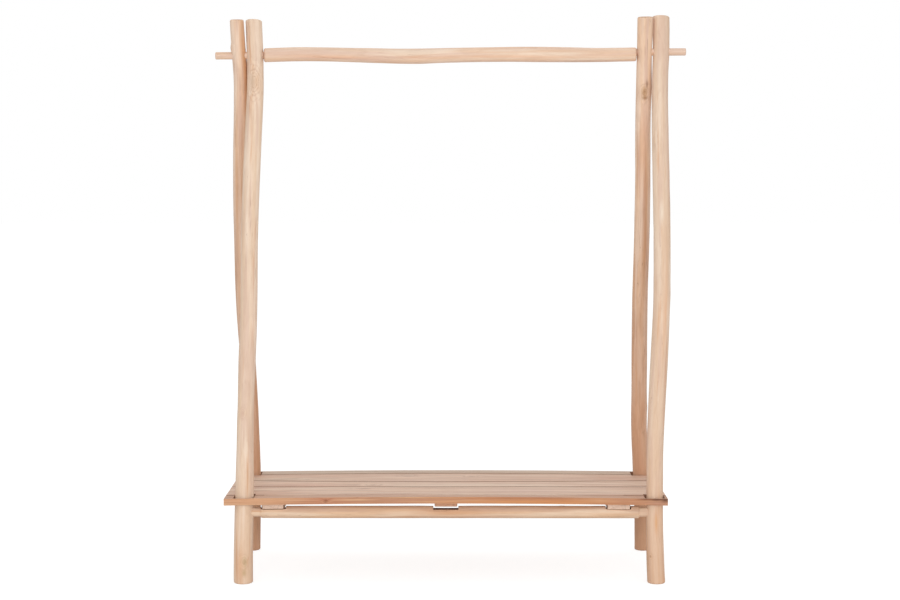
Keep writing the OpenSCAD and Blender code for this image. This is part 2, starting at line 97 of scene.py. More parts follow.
class Graph:
    """A node tree under construction, in which any input takes a number, a colour or a socket."""

    def __init__(self, tree: bpy.types.NodeTree) -> None:
        """Keep the tree that nodes are added to."""
        self.tree = tree

    def feed(self, socket: Socket, value: Value) -> None:
        """Link a socket to an input, or set the input to a constant."""
        if isinstance(value, Socket):
            self.tree.links.new(value, socket)
        else:
            socket.default_value = value

    def node(self, kind: str, inputs: dict[str, Value] | None = None, **settings: object) -> bpy.types.Node:
        """Add a node.

        Args:
            kind: The node's type.
            inputs: Values or sockets for its inputs, by name.
            **settings: Properties of the node itself.

        Returns:
            The new node.
        """
        made = self.tree.nodes.new(kind)
        for name, value in settings.items():
            setattr(made, name, value)
        for name, value in (inputs or {}).items():
            self.feed(made.inputs[name], value)
        return made

    def math(self, operation: str, *values: Value, clamp: bool = False) -> Socket:
        """Add a Math node on numbers or sockets and return its output."""
        made = self.node("ShaderNodeMath", operation=operation, use_clamp=clamp)
        for socket, value in zip(made.inputs, values):
            self.feed(socket, value)
        return made.outputs[0]

    def vector(self, operation: str, *values: Value) -> Socket:
        """Add a Vector Math node and return its vector, or its value where it gives one."""
        made = self.node("ShaderNodeVectorMath", operation=operation)
        for socket, value in zip(made.inputs, values):
            self.feed(socket, value)
        return made.outputs["Value" if operation == "LENGTH" else "Vector"]

    def combine(self, x: Value, y: Value, z: Value) -> Socket:
        """Join three numbers into a vector."""
        return self.node("ShaderNodeCombineXYZ", {"X": x, "Y": y, "Z": z}).outputs[0]

    def split(self, vector: Value) -> tuple[Socket, ...]:
        """Part a vector into its three numbers."""
        return tuple(self.node("ShaderNodeSeparateXYZ", {"Vector": vector}).outputs)

    def noise(self, vector: Value, detail: float = 2.0, roughness: float = 0.5) -> Socket:
        """Return smooth noise about one unit wide at a vector."""
        inputs = {"Vector": vector, "Scale": 1.0, "Detail": detail, "Roughness": roughness}
        return self.node("ShaderNodeTexNoise", inputs).outputs[0]

    def rise(self, value: Value, low: float, high: float) -> Socket:
        """Return 0 below low and 1 above high, with a smooth rise between them."""
        inputs = {"Value": value, "From Min": low, "From Max": high}
        made = self.node("ShaderNodeMapRange", inputs, interpolation_type="SMOOTHSTEP")
        return made.outputs[0]

    def fall(self, value: Value, low: float, high: float) -> Socket:
        """Return 1 below low and 0 above high, with a smooth fall between them."""
        return self.math("SUBTRACT", 1.0, self.rise(value, low, high))

    def ridge(self, value: Value, level: float, width: float) -> Socket:
        """Return 1 where a value is at a level, and 0 where it is a width or more off."""
        return self.fall(self.math("ABSOLUTE", self.math("SUBTRACT", value, level)), 0.0, width)

    def grain(self, vector: Value, scale: Sequence[float], detail: float) -> Socket:
        """Return noise at a vector whose three numbers are first scaled, each by its own."""
        return self.noise(self.vector("MULTIPLY", vector, scale), detail)

    def drawn_out(self, log: Value, width: Value, length: Value) -> Socket:
        """Count straightened coordinates in widths across the grain and lengths along it."""
        u, v, w = self.split(log)
        across = (self.math("DIVIDE", u, width), self.math("DIVIDE", v, width))
        return self.combine(*across, self.math("DIVIDE", w, length))

    def mix(self, factor: Value, first: Value, second: Value) -> Socket:
        """Blend two colours."""
        made = self.node("ShaderNodeMix", data_type="RGBA")
        for index, value in ((0, factor), (6, first), (7, second)):
            self.feed(made.inputs[index], value)
        return made.outputs[2]

    def tint(self, colour: Value, mask: Value, share: Value, code: str) -> Socket:
        """Lay a share of another colour over a colour, where a mask is."""
        return self.mix(self.math("MULTIPLY", mask, share), colour, tone(code))

    def group(self, tree: bpy.types.NodeTree, inputs: dict[str, Value]) -> bpy.types.Node:
        """Place a node group and set its inputs."""
        made = self.tree.nodes.new("ShaderNodeGroup")
        made.node_tree = tree
        for name, value in inputs.items():
            self.feed(made.inputs[name], value)
        return made


@dataclass
class Effect:
    """A shader node group with named inputs and outputs, built once for all materials."""

    name: str
    inputs: dict[str, float | None]
    outputs: tuple[str, ...]
    tree: bpy.types.NodeTree = field(init=False)

    def __post_init__(self) -> None:
        """Make the tree and its sockets. An input without a default is a vector."""
        self.tree = bpy.data.node_groups.new(self.name, "ShaderNodeTree")
        for name, default in self.inputs.items():
            kind = "NodeSocketVector" if default is None else "NodeSocketFloat"
            socket = self.tree.interface.new_socket(name=name, in_out="INPUT", socket_type=kind)
            if default is not None:
                socket.default_value = default
        for name in self.outputs:
            self.tree.interface.new_socket(name=name, in_out="OUTPUT", socket_type="NodeSocketFloat")
        self.start = self.tree.nodes.new("NodeGroupInput").outputs
        self.end = self.tree.nodes.new("NodeGroupOutput").inputs
        self.graph = Graph(self.tree)

    def give(self, **results: Socket) -> None:
        """Link results to the outputs of the same names."""
        for name, socket in results.items():
            self.tree.links.new(socket, self.end[name])


class WoodEffects:
    """The effects that every piece of teak shares, on coordinates straightened along its grain.

    The third coordinate runs along the grain, and the first two cross it from the pith.
    """

    CRACK = 0.016  # How far off its middle the noise still draws a crack.
    CLEAR = 0.006  # Distance from the pith by which a mark shows on its own side only.

    def __init__(self) -> None:
        """Build the groups once."""
        self.fibre = self._fibre()
        self.rings = self._rings()
        self.knot = self._knot()
        self.patch = self._patch()
        self.checks = self._checks()

    @staticmethod
    def _stretched(effect: Effect, width: str, length: str, away: float, detail: float) -> Socket:
        """Return noise drawn out along the grain.

        Args:
            effect: The group that it goes into, with inputs Log and Seed.
            width: The group's input for its width.
            length: The group's input for its length.
            away: How far off the pattern starts, so that patterns differ.
            detail: How much finer noise it holds.

        Returns:
            The noise.
        """
        g, start = effect.graph, effect.start
        place = g.drawn_out(start["Log"], start[width], start[length])
        shift = g.combine(start["Seed"], g.math("MULTIPLY", start["Seed"], 1.7), start["Seed"])
        moved = g.vector("ADD", g.vector("ADD", place, shift), (away, away, away))
        return g.noise(moved, detail, 0.55)

    @classmethod
    def _fibre(cls) -> bpy.types.NodeTree:
        """Streaks along the grain: three kinds of broad bands, and fine hairs."""
        sizes = {"Broad Width": 0.012, "Broad Length": 0.3, "Hair Width": 0.0009, "Hair Length": 0.03}
        effect = Effect("Fibre", {"Log": None, "Seed": 0.0, **sizes}, ("Broad", "Second", "Third", "Hair"))
        effect.give(
            Broad=cls._stretched(effect, "Broad Width", "Broad Length", 0.0, 1.0),
            Second=cls._stretched(effect, "Broad Width", "Broad Length", 37.0, 2.0),
            Third=cls._stretched(effect, "Broad Width", "Broad Length", 71.0, 1.0),
            Hair=cls._stretched(effect, "Hair Width", "Hair Length", 11.0, 3.0),
        )
        return effect.tree

    @classmethod
    def _checks(cls) -> bpy.types.NodeTree:
        """Fine drying cracks, here and there along the grain."""
        sizes = {"Width": 0.007, "Length": 0.16, "Field Width": 0.03, "Field Length": 0.35}
        effect = Effect("Drying Checks", {"Log": None, "Seed": 0.0, **sizes}, ("Crack",))
        g = effect.graph
        wave = cls._stretched(effect, "Width", "Length", 19.0, 1.0)
        region = g.rise(cls._stretched(effect, "Field Width", "Field Length", 53.0, 1.0), 0.56, 0.66)
        effect.give(Crack=g.math("MULTIPLY", g.ridge(wave, 0.5, cls.CRACK), region))
        return effect.tree

    @classmethod
    def _turned(cls, effect: Effect) -> tuple[Socket, ...]:
        """Turn coordinates to face a mark.

        Args:
            effect: The mark's group, with inputs Log, Along and Side.

        Returns:
            Whether a point is on the mark's side of the pith, and how far beside and beyond it.
        """
        g, start = effect.graph, effect.start
        u, v, w = g.split(start["Log"])
        cos, sin = g.math("COSINE", start["Side"]), g.math("SINE", start["Side"])
        facing = g.math("ADD", g.math("MULTIPLY", u, cos), g.math("MULTIPLY", v, sin))
        beside = g.math("SUBTRACT", g.math("MULTIPLY", v, cos), g.math("MULTIPLY", u, sin))
        return g.rise(facing, 0.0, cls.CLEAR), beside, g.math("SUBTRACT", w, start["Along"])

    @classmethod
    def _patch(cls) -> bpy.types.NodeTree:
        """A soft patch of another colour, with ends that run out along the grain."""
        sizes = {"Along": 0.0, "Side": 0.0, "Length": 0.05, "Width": 0.01}
        effect = Effect("Patch", {"Log": None, **sizes}, ("Mask",))
        g, start = effect.graph, effect.start
        front, beside, beyond = cls._turned(effect)
        along, across = g.math("DIVIDE", beyond, start["Length"]), g.math("DIVIDE", beside, start["Width"])
        away = g.math("ADD", g.math("MULTIPLY", along, along), g.math("MULTIPLY", across, across))
        torn = g.grain(start["Log"], (260.0, 260.0, 14.0), 2.0)
        away = g.math("MULTIPLY", away, g.math("MULTIPLY_ADD", torn, 1.6, 0.2))
        near = g.math("EXPONENT", g.math("MULTIPLY", away, -1.0))
        effect.give(Mask=g.math("MULTIPLY", near, front))
        return effect.tree

    @staticmethod
    def _rings() -> bpy.types.NodeTree:
        """Growth rings as thin lines. Where a surface cuts across them they draw its figure."""
        sizes = {"Spacing": 0.003, "Taper": 0.0, "Wander": 0.004, "Wander Width": 0.03, "Wander Length": 0.3}
        effect = Effect("Growth Rings", {"Log": None, "Seed": 0.0, "Push": 0.0, **sizes}, ("Line", "Late"))
        g, start = effect.graph, effect.start
        u, v, w = g.split(start["Log"])
        place = g.drawn_out(start["Log"], start["Wander Width"], start["Wander Length"])
        place = g.vector("ADD", place, g.combine(start["Seed"], 0.0, 0.0))
        wander = g.math("MULTIPLY", g.math("SUBTRACT", g.noise(place, 2.5, 0.55), 0.5), start["Wander"])
        radius = g.vector("LENGTH", g.combine(u, v, 0.0))
        cone = g.math("MULTIPLY_ADD", w, start["Taper"], radius)
        depth = g.math("ADD", g.math("ADD", cone, wander), start["Push"])
        turns = g.math("DIVIDE", depth, start["Spacing"])
        uneven = g.noise(g.combine(turns, start["Seed"], 0.0), 1.0, 0.5)
        phase = g.math("FRACT", g.math("MULTIPLY_ADD", uneven, 1.4, turns))
        late = g.rise(phase, 0.15, 0.85)
        line = g.math("MULTIPLY", g.rise(phase, 0.5, 0.86), g.fall(phase, 0.88, 1.0))
        effect.give(Line=line, Late=late)
        return effect.tree

    @classmethod
    def _knot(cls) -> bpy.types.NodeTree:
        """One knot: its core, its dark rim, and how far it pushes the rings around it."""
        effect = Effect(
            "Knot",
            {"Log": None, "Along": 0.0, "Side": 0.0, "Size": 0.008, "Stretch": 1.5},
            ("Core", "Rim", "Halo", "Push"),
        )
        g, start = effect.graph, effect.start
        front, beside, beyond = cls._turned(effect)
        along = g.math("DIVIDE", beyond, start["Stretch"])
        ragged = g.grain(start["Log"], (230.0, 230.0, 120.0), 2.0)
        shares = g.math("DIVIDE", g.vector("LENGTH", g.combine(beside, along, 0.0)), start["Size"])
        shares = g.math("ADD", shares, g.math("MULTIPLY_ADD", ragged, 0.7, -0.35))
        circles = g.math("COSINE", g.math("MULTIPLY", shares, 15.0))
        inner = g.math("MULTIPLY_ADD", circles, 0.18, 0.82)
        core = g.math("MULTIPLY", g.math("MULTIPLY", g.fall(shares, 0.25, 1.1), inner), front)
        worn = g.rise(g.grain(start["Log"], (90.0, 90.0, 70.0), 1.0), 0.38, 0.62)
        rim = g.math("MULTIPLY", g.math("MULTIPLY", g.ridge(shares, 1.0, 0.24), worn), front)
        spread = g.math("MULTIPLY", g.math("MULTIPLY", shares, shares), -0.22)
        halo = g.math("MULTIPLY", g.math("EXPONENT", spread), front)
        push = g.math("MULTIPLY", g.math("MULTIPLY", halo, start["Size"]), 1.3)
        effect.give(Core=core, Rim=rim, Halo=halo, Push=push)
        return effect.tree


# ---- Finishes ----


@dataclass(frozen=True)
class Knot:
    """A knot's place and size on a piece.

    Attributes:
        along: Share of the piece's length.
        side: Degrees around a branch, or metres across a board from its middle.
        size: Radius in metres.
        stretch: Length along the grain over width across it.
        depth: How dark it is, from 0 where only the grain curls round it, to 1.
        curl: How strongly the rings that curl round it show.
        swelling: Height of the bump that it makes in the skin, in metres.
    """

    along: float
    side: float
    size: float
    stretch: float = 1.5
    depth: float = 0.6
    curl: float = 0.25
    swelling: float = 0.0


@dataclass(frozen=True)
class Patch:
    """A patch of another colour on a piece.

    Attributes:
        along: Share of the piece's length.
        side: Degrees around a branch, or metres across a board from its middle.
        length: Half of its length along the grain, in metres.
        width: Half of its width across it.
        tint: Its colour.
        depth: How strongly it shows at its middle, 0 to 1.
    """

    along: float
    side: float
    length: float
    width: float
    tint: str
    depth: float = 0.6


@dataclass(frozen=True)
class Marks:
    """The knots and patches on one piece.

    They are written by share of length. A piece's placed() turns that into metres along the grain
    and radians around the pith before they go into a material.
    """

    knots: tuple[Knot, ...] = ()
    patches: tuple[Patch, ...] = ()


@dataclass(frozen=True)
class KnotMasks:
    """Where a piece's knots lie and what they do to the grain."""

    core: Value
    rim: Value
    halo: Value
    push: Value


def knot_masks(g: Graph, effects: WoodEffects, log: Value, knots: Iterable[Knot]) -> KnotMasks:
    """Place one knot group for each knot and join their masks.

    Args:
        g: The material's graph.
        effects: The shared wood groups.
        log: Straightened coordinates.
        knots: The knots to place.

    Returns:
        The joined masks.
    """
    core: Value = 0.0
    rim: Value = 0.0
    halo: Value = 0.0
    push: Value = 0.0
    for knot in knots:
        inputs = {"Log": log, "Along": knot.along, "Side": knot.side}
        inputs |= {"Size": knot.size, "Stretch": knot.stretch}
        made = g.group(effects.knot, inputs).outputs
        core = g.math("MAXIMUM", g.math("MULTIPLY", made["Core"], knot.depth), core)
        rim = g.math("MAXIMUM", g.math("MULTIPLY", made["Rim"], knot.depth), rim)
        halo = g.math("MAXIMUM", g.math("MULTIPLY", made["Halo"], knot.curl), halo)
        push = g.math("ADD", made["Push"], push)
    return KnotMasks(core, rim, halo, push)


@dataclass(frozen=True)
class Teak:
    """Unfinished teak, pale sapwood to orange heartwood.

    Attributes:
        name: The material's name.
        pale: Colour of the palest bands.
        body: Colour of most of the surface.
        cool: Colour of the greyer bands.
        streak: Colour of the heartwood streaks.
        dark: Colour of late rings and knots.
        streaks: Share of the surface in streaks, 0 to 1.
        figure: Strength of the growth rings' lines.
        seed: Start of the random patterns.
        spacing: Distance between growth rings in metres.
        wander: How far the rings wander in metres, which draws the figure.
        broad: Width and length of the colour bands in metres.
        roughness: Roughness of the sanded surface.
        sawn: Colour of sides left rough from the saw, kept dark as painted shade where those sides lie in joints,
            holes and notches.
        foot_browning: How much browner and darker the wood is towards its first end, a leg's foot.
        foot_browning_reach: Distances along it between which that fades away.
    """

    name: str
    pale: str
    body: str
    cool: str
    streak: str
    dark: str
    streaks: float = 0.35
    figure: float = 0.2
    seed: float = 0.0
    spacing: float = 0.0028
    wander: float = 0.008
    broad: tuple[float, float] = (0.015, 0.3)
    roughness: float = 0.62
    sawn: str = "9d7a66"
    foot_browning: float = 0.0
    foot_browning_reach: tuple[float, float] = (0.3, 1.1)

    CHAR = "5c4030"  # Where the saw's teeth darkened the wood.
    DEEP = "4a3020"  # Inside a drying crack.
    SHEEN, RAW_SHEEN = 0.3, 0.2  # Reflection of smooth and of raw wood.
    RELIEF, RAW_RELIEF = 0.00035, 0.0004  # Height of their bumps.

    def coats(
        self, effects: WoodEffects, log: "Coordinates", marks: Marks
    ) -> tuple[bpy.types.Material, ...]:
        """Return a piece's materials in the order of Grain: along, across, and raw with painted shade."""
        return self.long_grain(effects, log, marks), self.end_grain(effects, log), self.raw_side(log)

    def long_grain(
        self, effects: WoodEffects, log: "Coordinates", marks: Marks
    ) -> bpy.types.Material:
        """Build the material of surfaces that run along the grain.

        Args:
            effects: The shared wood groups.
            log: How the piece's coordinates are straightened.
            marks: Knots and patches on this piece.

        Returns:
            The material.
        """
        material, g, shader = new_material(self.name)
        place = log.wire(g)
        knots = knot_masks(g, effects, place, marks.knots)
        bent = g.vector("ADD", place, g.combine(knots.push, knots.push, 0.0))
        inputs = {"Log": bent, "Seed": self.seed}
        crack = g.group(effects.checks, inputs).outputs["Crack"]
        inputs |= {"Broad Width": self.broad[0], "Broad Length": self.broad[1]}
        fibre = g.group(effects.fibre, inputs).outputs
        inputs = {"Log": place, "Seed": self.seed, "Push": knots.push, "Spacing": self.spacing}
        inputs |= {"Taper": log.taper, "Wander": self.wander, "Wander Length": log.wander_length}
        rings = g.group(effects.rings, inputs).outputs
        colour = g.mix(g.rise(fibre["Broad"], 0.36, 0.64), tone(self.body), tone(self.pale))
        colour = g.tint(colour, g.rise(fibre["Third"], 0.48, 0.66), 0.8, self.cool)
        edge = 0.7 - 0.3 * self.streaks
        streak = g.rise(fibre["Second"], edge, edge + 0.16)
        colour = g.tint(colour, streak, 0.65, self.streak)
        # Browner and darker towards the first end, a leg's foot, fading out further along.
        if self.foot_browning:
            low = g.fall(g.split(place)[2], *self.foot_browning_reach)
            colour = g.tint(colour, low, self.foot_browning, self.streak)
        for patch in marks.patches:
            inputs = {"Log": place, "Along": patch.along, "Side": patch.side}
            inputs |= {"Length": patch.length, "Width": patch.width}
            mask = g.group(effects.patch, inputs).outputs["Mask"]
            colour = g.tint(colour, mask, patch.depth, patch.tint)
        strength = g.math("MULTIPLY_ADD", streak, 0.5 * self.figure, 0.6 * self.figure)
        around_knots = g.math("MINIMUM", g.math("ADD", knots.halo, strength), 0.6)
        hair = g.rise(fibre["Hair"], 0.42, 0.7)
        layers = (
            (rings["Line"], around_knots, self.dark),
            (rings["Late"], 0.3 * self.figure, self.streak),
            (hair, 0.13, self.dark),
            (knots.halo, 0.7, self.streak),
            (knots.core, 0.7, self.dark),
            (knots.rim, 0.7, self.dark),
            (crack, 0.4, self.dark),
        )
        for mask, share, code in layers:
            colour = g.tint(colour, mask, share, code)
        relief = g.math("MULTIPLY_ADD", hair, -0.5, g.math("MULTIPLY", rings["Line"], -0.35))
        relief = g.math("MULTIPLY_ADD", knots.rim, -1.6, relief)
        relief = g.math("MULTIPLY_ADD", crack, -2.0, relief)
        rough = g.math("MULTIPLY_ADD", hair, 0.12, self.roughness)
        cover(g, shader, colour, rough, relief, 0.5, self.RELIEF, self.SHEEN)
        return material

    def raw_side(self, log: "Coordinates") -> bpy.types.Material:
        """Build the material of sawn sides that were never sanded, with the marks of the saw, darkened as painted
        shade.

        Args:
            log: How the piece's coordinates are straightened.

        Returns:
            The material.
        """
        material, g, shader = new_material(self.name + "_side")
        place = log.wire(g)
        grime = g.grain(place, (90.0, 90.0, 9.0), 3.0)
        teeth = g.grain(place, (40.0, 40.0, 700.0), 1.0)
        dirt = g.math("MULTIPLY_ADD", grime, 0.8, -0.1, clamp=True)
        colour = g.mix(dirt, tone(self.sawn), tone(self.dark))
        colour = g.tint(colour, g.rise(teeth, 0.5, 0.62), 0.25, self.CHAR)
        rough = g.math("MULTIPLY_ADD", teeth, 0.15, 0.75)
        cover(g, shader, colour, rough, teeth, 0.5, self.RAW_RELIEF, self.RAW_SHEEN)
        return material

    def end_grain(self, effects: WoodEffects, log: "Coordinates") -> bpy.types.Material:
        """Build the material of surfaces sawn across the grain, with rings and drying cracks.

        Args:
            effects: The shared wood groups.
            log: How the piece's coordinates are straightened.

        Returns:
            The material.
        """
        material, g, shader = new_material(self.name + "_end")
        place = log.wire(g)
        inputs = {"Log": place, "Seed": self.seed, "Spacing": self.spacing * 0.8, "Wander": 0.004}
        rings = g.group(effects.rings, inputs).outputs
        flat = g.vector("MULTIPLY", place, (1.0, 1.0, 0.0))
        away = g.vector("LENGTH", flat)
        pores = g.grain(place, (1500.0, 1500.0, 40.0), 2.0)
        rays = g.vector("MULTIPLY", g.vector("NORMALIZE", flat), (6.0, 6.0, 0.0))
        rays = g.noise(g.vector("ADD", rays, (self.seed, 0.0, 0.0)), 3.0)
        crack = g.math("MULTIPLY", g.ridge(rays, 0.5, effects.CRACK), g.rise(away, 0.003, 0.009))
        layers = (
            (g.fall(away, 0.004, log.heart), 0.7, self.streak),
            (rings["Late"], 0.2, self.dark),
            (rings["Line"], 0.3, self.dark),
            (g.rise(pores, 0.55, 0.7), 0.2, self.dark),
            (crack, 0.7 * log.cracks, self.DEEP),
        )
        colour: Value = tone(self.body)
        for mask, share, code in layers:
            colour = g.tint(colour, mask, share, code)
        saw = g.grain(place, (90.0, 900.0, 0.0), 2.0)
        relief = g.math("MULTIPLY_ADD", crack, -3.0 * log.cracks, saw)
        rough = g.math("MULTIPLY_ADD", rings["Late"], 0.1, 0.75)
        cover(g, shader, colour, rough, relief, 0.5, self.RAW_RELIEF, self.RAW_SHEEN)
        return material


@dataclass(frozen=True)
class Coordinates:
    """How a piece's coordinates are straightened along its grain.

    Attributes:
        taper: Growth in the rings' radius along the grain.
        heart: Radius of the browner heartwood on a sawn end.
        cracks: How open the drying cracks of a sawn end are.
        wander_length: Length over which the rings wander.
    """

    taper: float = 0.0
    heart: float = 0.02
    cracks: float = 1.0
    wander_length: float = 0.2

    def wire(self, g: Graph) -> Socket:
        """Return the coordinates stored along a branch."""
        made = g.node("ShaderNodeAttribute", attribute_name=LOG_ATTRIBUTE)
        return made.outputs["Vector"]


@dataclass(frozen=True)
class SawnCoordinates(Coordinates):
    """Coordinates of a board, which was sawn from a log whose pith lay beside it.

    Attributes:
        pith: Where the pith lay, as metres across the board and metres above it.
        along: Axis that the grain follows, 0 for X and 1 for Y.
    """

    pith: tuple[float, float] = (0.0, -0.05)
    along: int = 0

    def wire(self, g: Graph) -> Socket:
        """Return object coordinates turned along the grain, measured from the pith."""
        place = g.node("ShaderNodeTexCoord").outputs["Object"]
        x, y, z = g.split(place)
        grain, cross = (x, y) if self.along == 0 else (y, x)
        return g.combine(g.math("SUBTRACT", z, self.pith[1]), g.math("SUBTRACT", cross, self.pith[0]), grain)


@dataclass(frozen=True)
class ScrewSteel:
    """Zinc-plated steel, bright with dull patches."""

    name: str = "screw_steel"
    colour: str = "c9c6bd"
    tarnish: str = "8d877b"

    def build(self) -> bpy.types.Material:
        """Return the material, with dull patches on bright metal."""
        material, g, shader = new_material(self.name)
        place = g.node("ShaderNodeTexCoord").outputs["Object"]
        patch = g.grain(place, (420.0, 420.0, 420.0), 4.0)
        dull = g.rise(patch, 0.45, 0.62)
        colour = g.mix(dull, tone(self.colour), tone(self.tarnish))
        cover(g, shader, colour, g.math("MULTIPLY_ADD", dull, 0.2, 0.28), patch, 0.25, 0.0001)
        shader.inputs["Metallic"].default_value = 1.0
        return material


def new_material(name: str) -> tuple[bpy.types.Material, Graph, bpy.types.Node]:
    """Make a material with an empty Principled surface.

    Args:
        name: The material's name.

    Returns:
        The material, its graph and its shader node.
    """
    material = bpy.data.materials.new(name)
    material.use_nodes = True
    tree = material.node_tree
    shader = tree.nodes["Principled BSDF"]
    return material, Graph(tree), shader


def cover(
    g: Graph,
    shader: bpy.types.Node,
    colour: Value,
    roughness: Value,
    relief: Value,
    strength: float,
    depth: float,
    sheen: float = 0.5,
) -> None:
    """Feed a shader its colour, its roughness, its sheen and its fine relief.

    Args:
        g: The material's graph.
        shader: The material's shader node.
        colour: The colour.
        roughness: The roughness.
        relief: Height of the relief, where 1 is as high as depth.
        strength: How strongly the relief shows.
        depth: Depth of the relief in metres.
        sheen: How much light its face throws back.
    """
    shader.inputs["Specular IOR Level"].default_value = sheen
    bump = g.node("ShaderNodeBump", {"Height": relief, "Strength": strength, "Distance": depth})
    for name, value in (("Base Color", colour), ("Roughness", roughness), ("Normal", bump.outputs[0])):
        g.feed(shader.inputs[name], value)


# ---- Meshes ----


def new_object(name: str, mesh: bpy.types.Mesh) -> bpy.types.Object:
    """Link a mesh into the scene as an object at the origin."""
    made = bpy.data.objects.new(name, mesh)
    bpy.context.scene.collection.objects.link(made)
    return made


def settle(piece: bpy.types.Object) -> None:
    """Turn a piece's modifiers into plain mesh and remove them."""
    graph = bpy.context.evaluated_depsgraph_get()
    mesh = bpy.data.meshes.new_from_object(piece.evaluated_get(graph))
    piece.modifiers.clear()
    old = piece.data
    piece.data = mesh
    bpy.data.meshes.remove(old)
    mesh.name = piece.name


def smooth_faces(mesh: bpy.types.Mesh, angle: float) -> None:
    """Shade a mesh smooth, with edges sharper than an angle in degrees kept crisp."""
    mesh.polygons.foreach_set("use_smooth", [True] * len(mesh.polygons))
    mesh.set_sharp_from_angle(angle=math.radians(angle))


def from_bmesh(name: str, bm: bmesh.types.BMesh) -> bpy.types.Object:
    """Turn a worked mesh into an object and free it."""
    mesh = bpy.data.meshes.new(name)
    bm.to_mesh(mesh)
    bm.free()
    return new_object(name, mesh)


def merged(node: str) -> bmesh.types.BMesh:
    """Return a copy of a solid's mesh with its doubled corners merged."""
    bm = bmesh.new()
    bm.from_mesh(frame["nodes"][node].data)
    bmesh.ops.remove_doubles(bm, verts=bm.verts, dist=1e-6)
    return bm


def rows_of(items: bpy.types.bpy_prop_collection, name: str) -> np.ndarray:
    """Read a vector of each corner or face of a mesh, as rows."""
    flat = np.empty(len(items) * 3)
    items.foreach_get(name, flat)
    return flat.reshape(-1, 3)


def around(count: int) -> np.ndarray:
    """Return angles spaced evenly round a circle."""
    return 2 * math.pi * np.arange(count) / count


def slot_of(node: str) -> str:
    """Return the material slot that the record gives a solid."""
    return next(p["material_slot"] for p in frame["record"]["subparts"] if p["node"] == node)


def tree_of(node: str) -> BVHTree:
    """Return a search tree of a solid's faces."""
    mesh = frame["nodes"][node].data
    points = [v.co.copy() for v in mesh.vertices]
    return BVHTree.FromPolygons(points, [tuple(p.vertices) for p in mesh.polygons])


def points_of(node: str) -> np.ndarray:
    """Return a solid's corners as rows."""
    return rows_of(frame["nodes"][node].data.vertices, "co")


def bar_axis() -> tuple[Vector, Vector]:
    """Return a point on the hanging bar's axis and its direction."""
    joint = next(j for j in frame["joints"] if j["name"] == "bar_roll")
    return Vector(joint["pos_m"]), Vector(joint["axis"]).normalized()


def cylinder(name: str, start: Vector, end: Vector, radius: float, sides: int = 48) -> bpy.types.Object:
    """Make a closed cylinder to cut with.

    Args:
        name: Name of the object.
        start: Centre of one end.
        end: Centre of the other end.
        radius: Its radius.
        sides: Faces around it.

    Returns:
        The cutter.
    """
    bm = bmesh.new()
    length = (end - start).length
    turn = (end - start).to_track_quat("Z", "Y").to_matrix().to_4x4()
    place = Matrix.Translation((start + end) / 2) @ turn
    bmesh.ops.create_cone(
        bm, cap_ends=True, segments=sides, radius1=radius, radius2=radius, depth=length, matrix=place
    )
    return from_bmesh(name, bm)


def cut(piece: bpy.types.Object, cutters: Sequence[bpy.types.Object]) -> None:
    """Take cutters' shapes out of a piece and delete the cutters."""
    for cutter in cutters:
        modifier = piece.modifiers.new("cut", "BOOLEAN")
        modifier.operation = "DIFFERENCE"
        modifier.solver = "EXACT"
        modifier.object = cutter
    settle(piece)
    for cutter in cutters:
        mesh = cutter.data
        bpy.data.objects.remove(cutter)
        bpy.data.meshes.remove(mesh)


class GeometryTree:
    """A Geometry Nodes tree with named inputs and one result, worked into a piece."""

    def __init__(self, name: str, inputs: dict[str, str], result: str) -> None:
        """Make the tree and its sockets.

        Args:
            name: The tree's name.
            inputs: Kind of each input, by name.
            result: Name of the geometry that it gives.
        """
        self.tree = bpy.data.node_groups.new(name, "GeometryNodeTree")
        sockets = self.tree.interface
        made = {
            title: sockets.new_socket(name=title, in_out="INPUT", socket_type="NodeSocket" + kind)
            for title, kind in inputs.items()
        }
        sockets.new_socket(name=result, in_out="OUTPUT", socket_type="NodeSocketGeometry")
        self.sockets = made
        self.graph = Graph(self.tree)
        self.start = self.tree.nodes.new("NodeGroupInput").outputs
        self.end = self.tree.nodes.new("NodeGroupOutput").inputs[result]

    def run(self, piece: bpy.types.Object, values: dict[str, object]) -> None:
        """Work the tree into a piece's mesh, with values for its inputs by name."""
        modifier = piece.modifiers.new(self.tree.name, "NODES")
        modifier.node_group = self.tree
        for name, value in values.items():
            modifier[self.sockets[name].identifier] = value
        settle(piece)


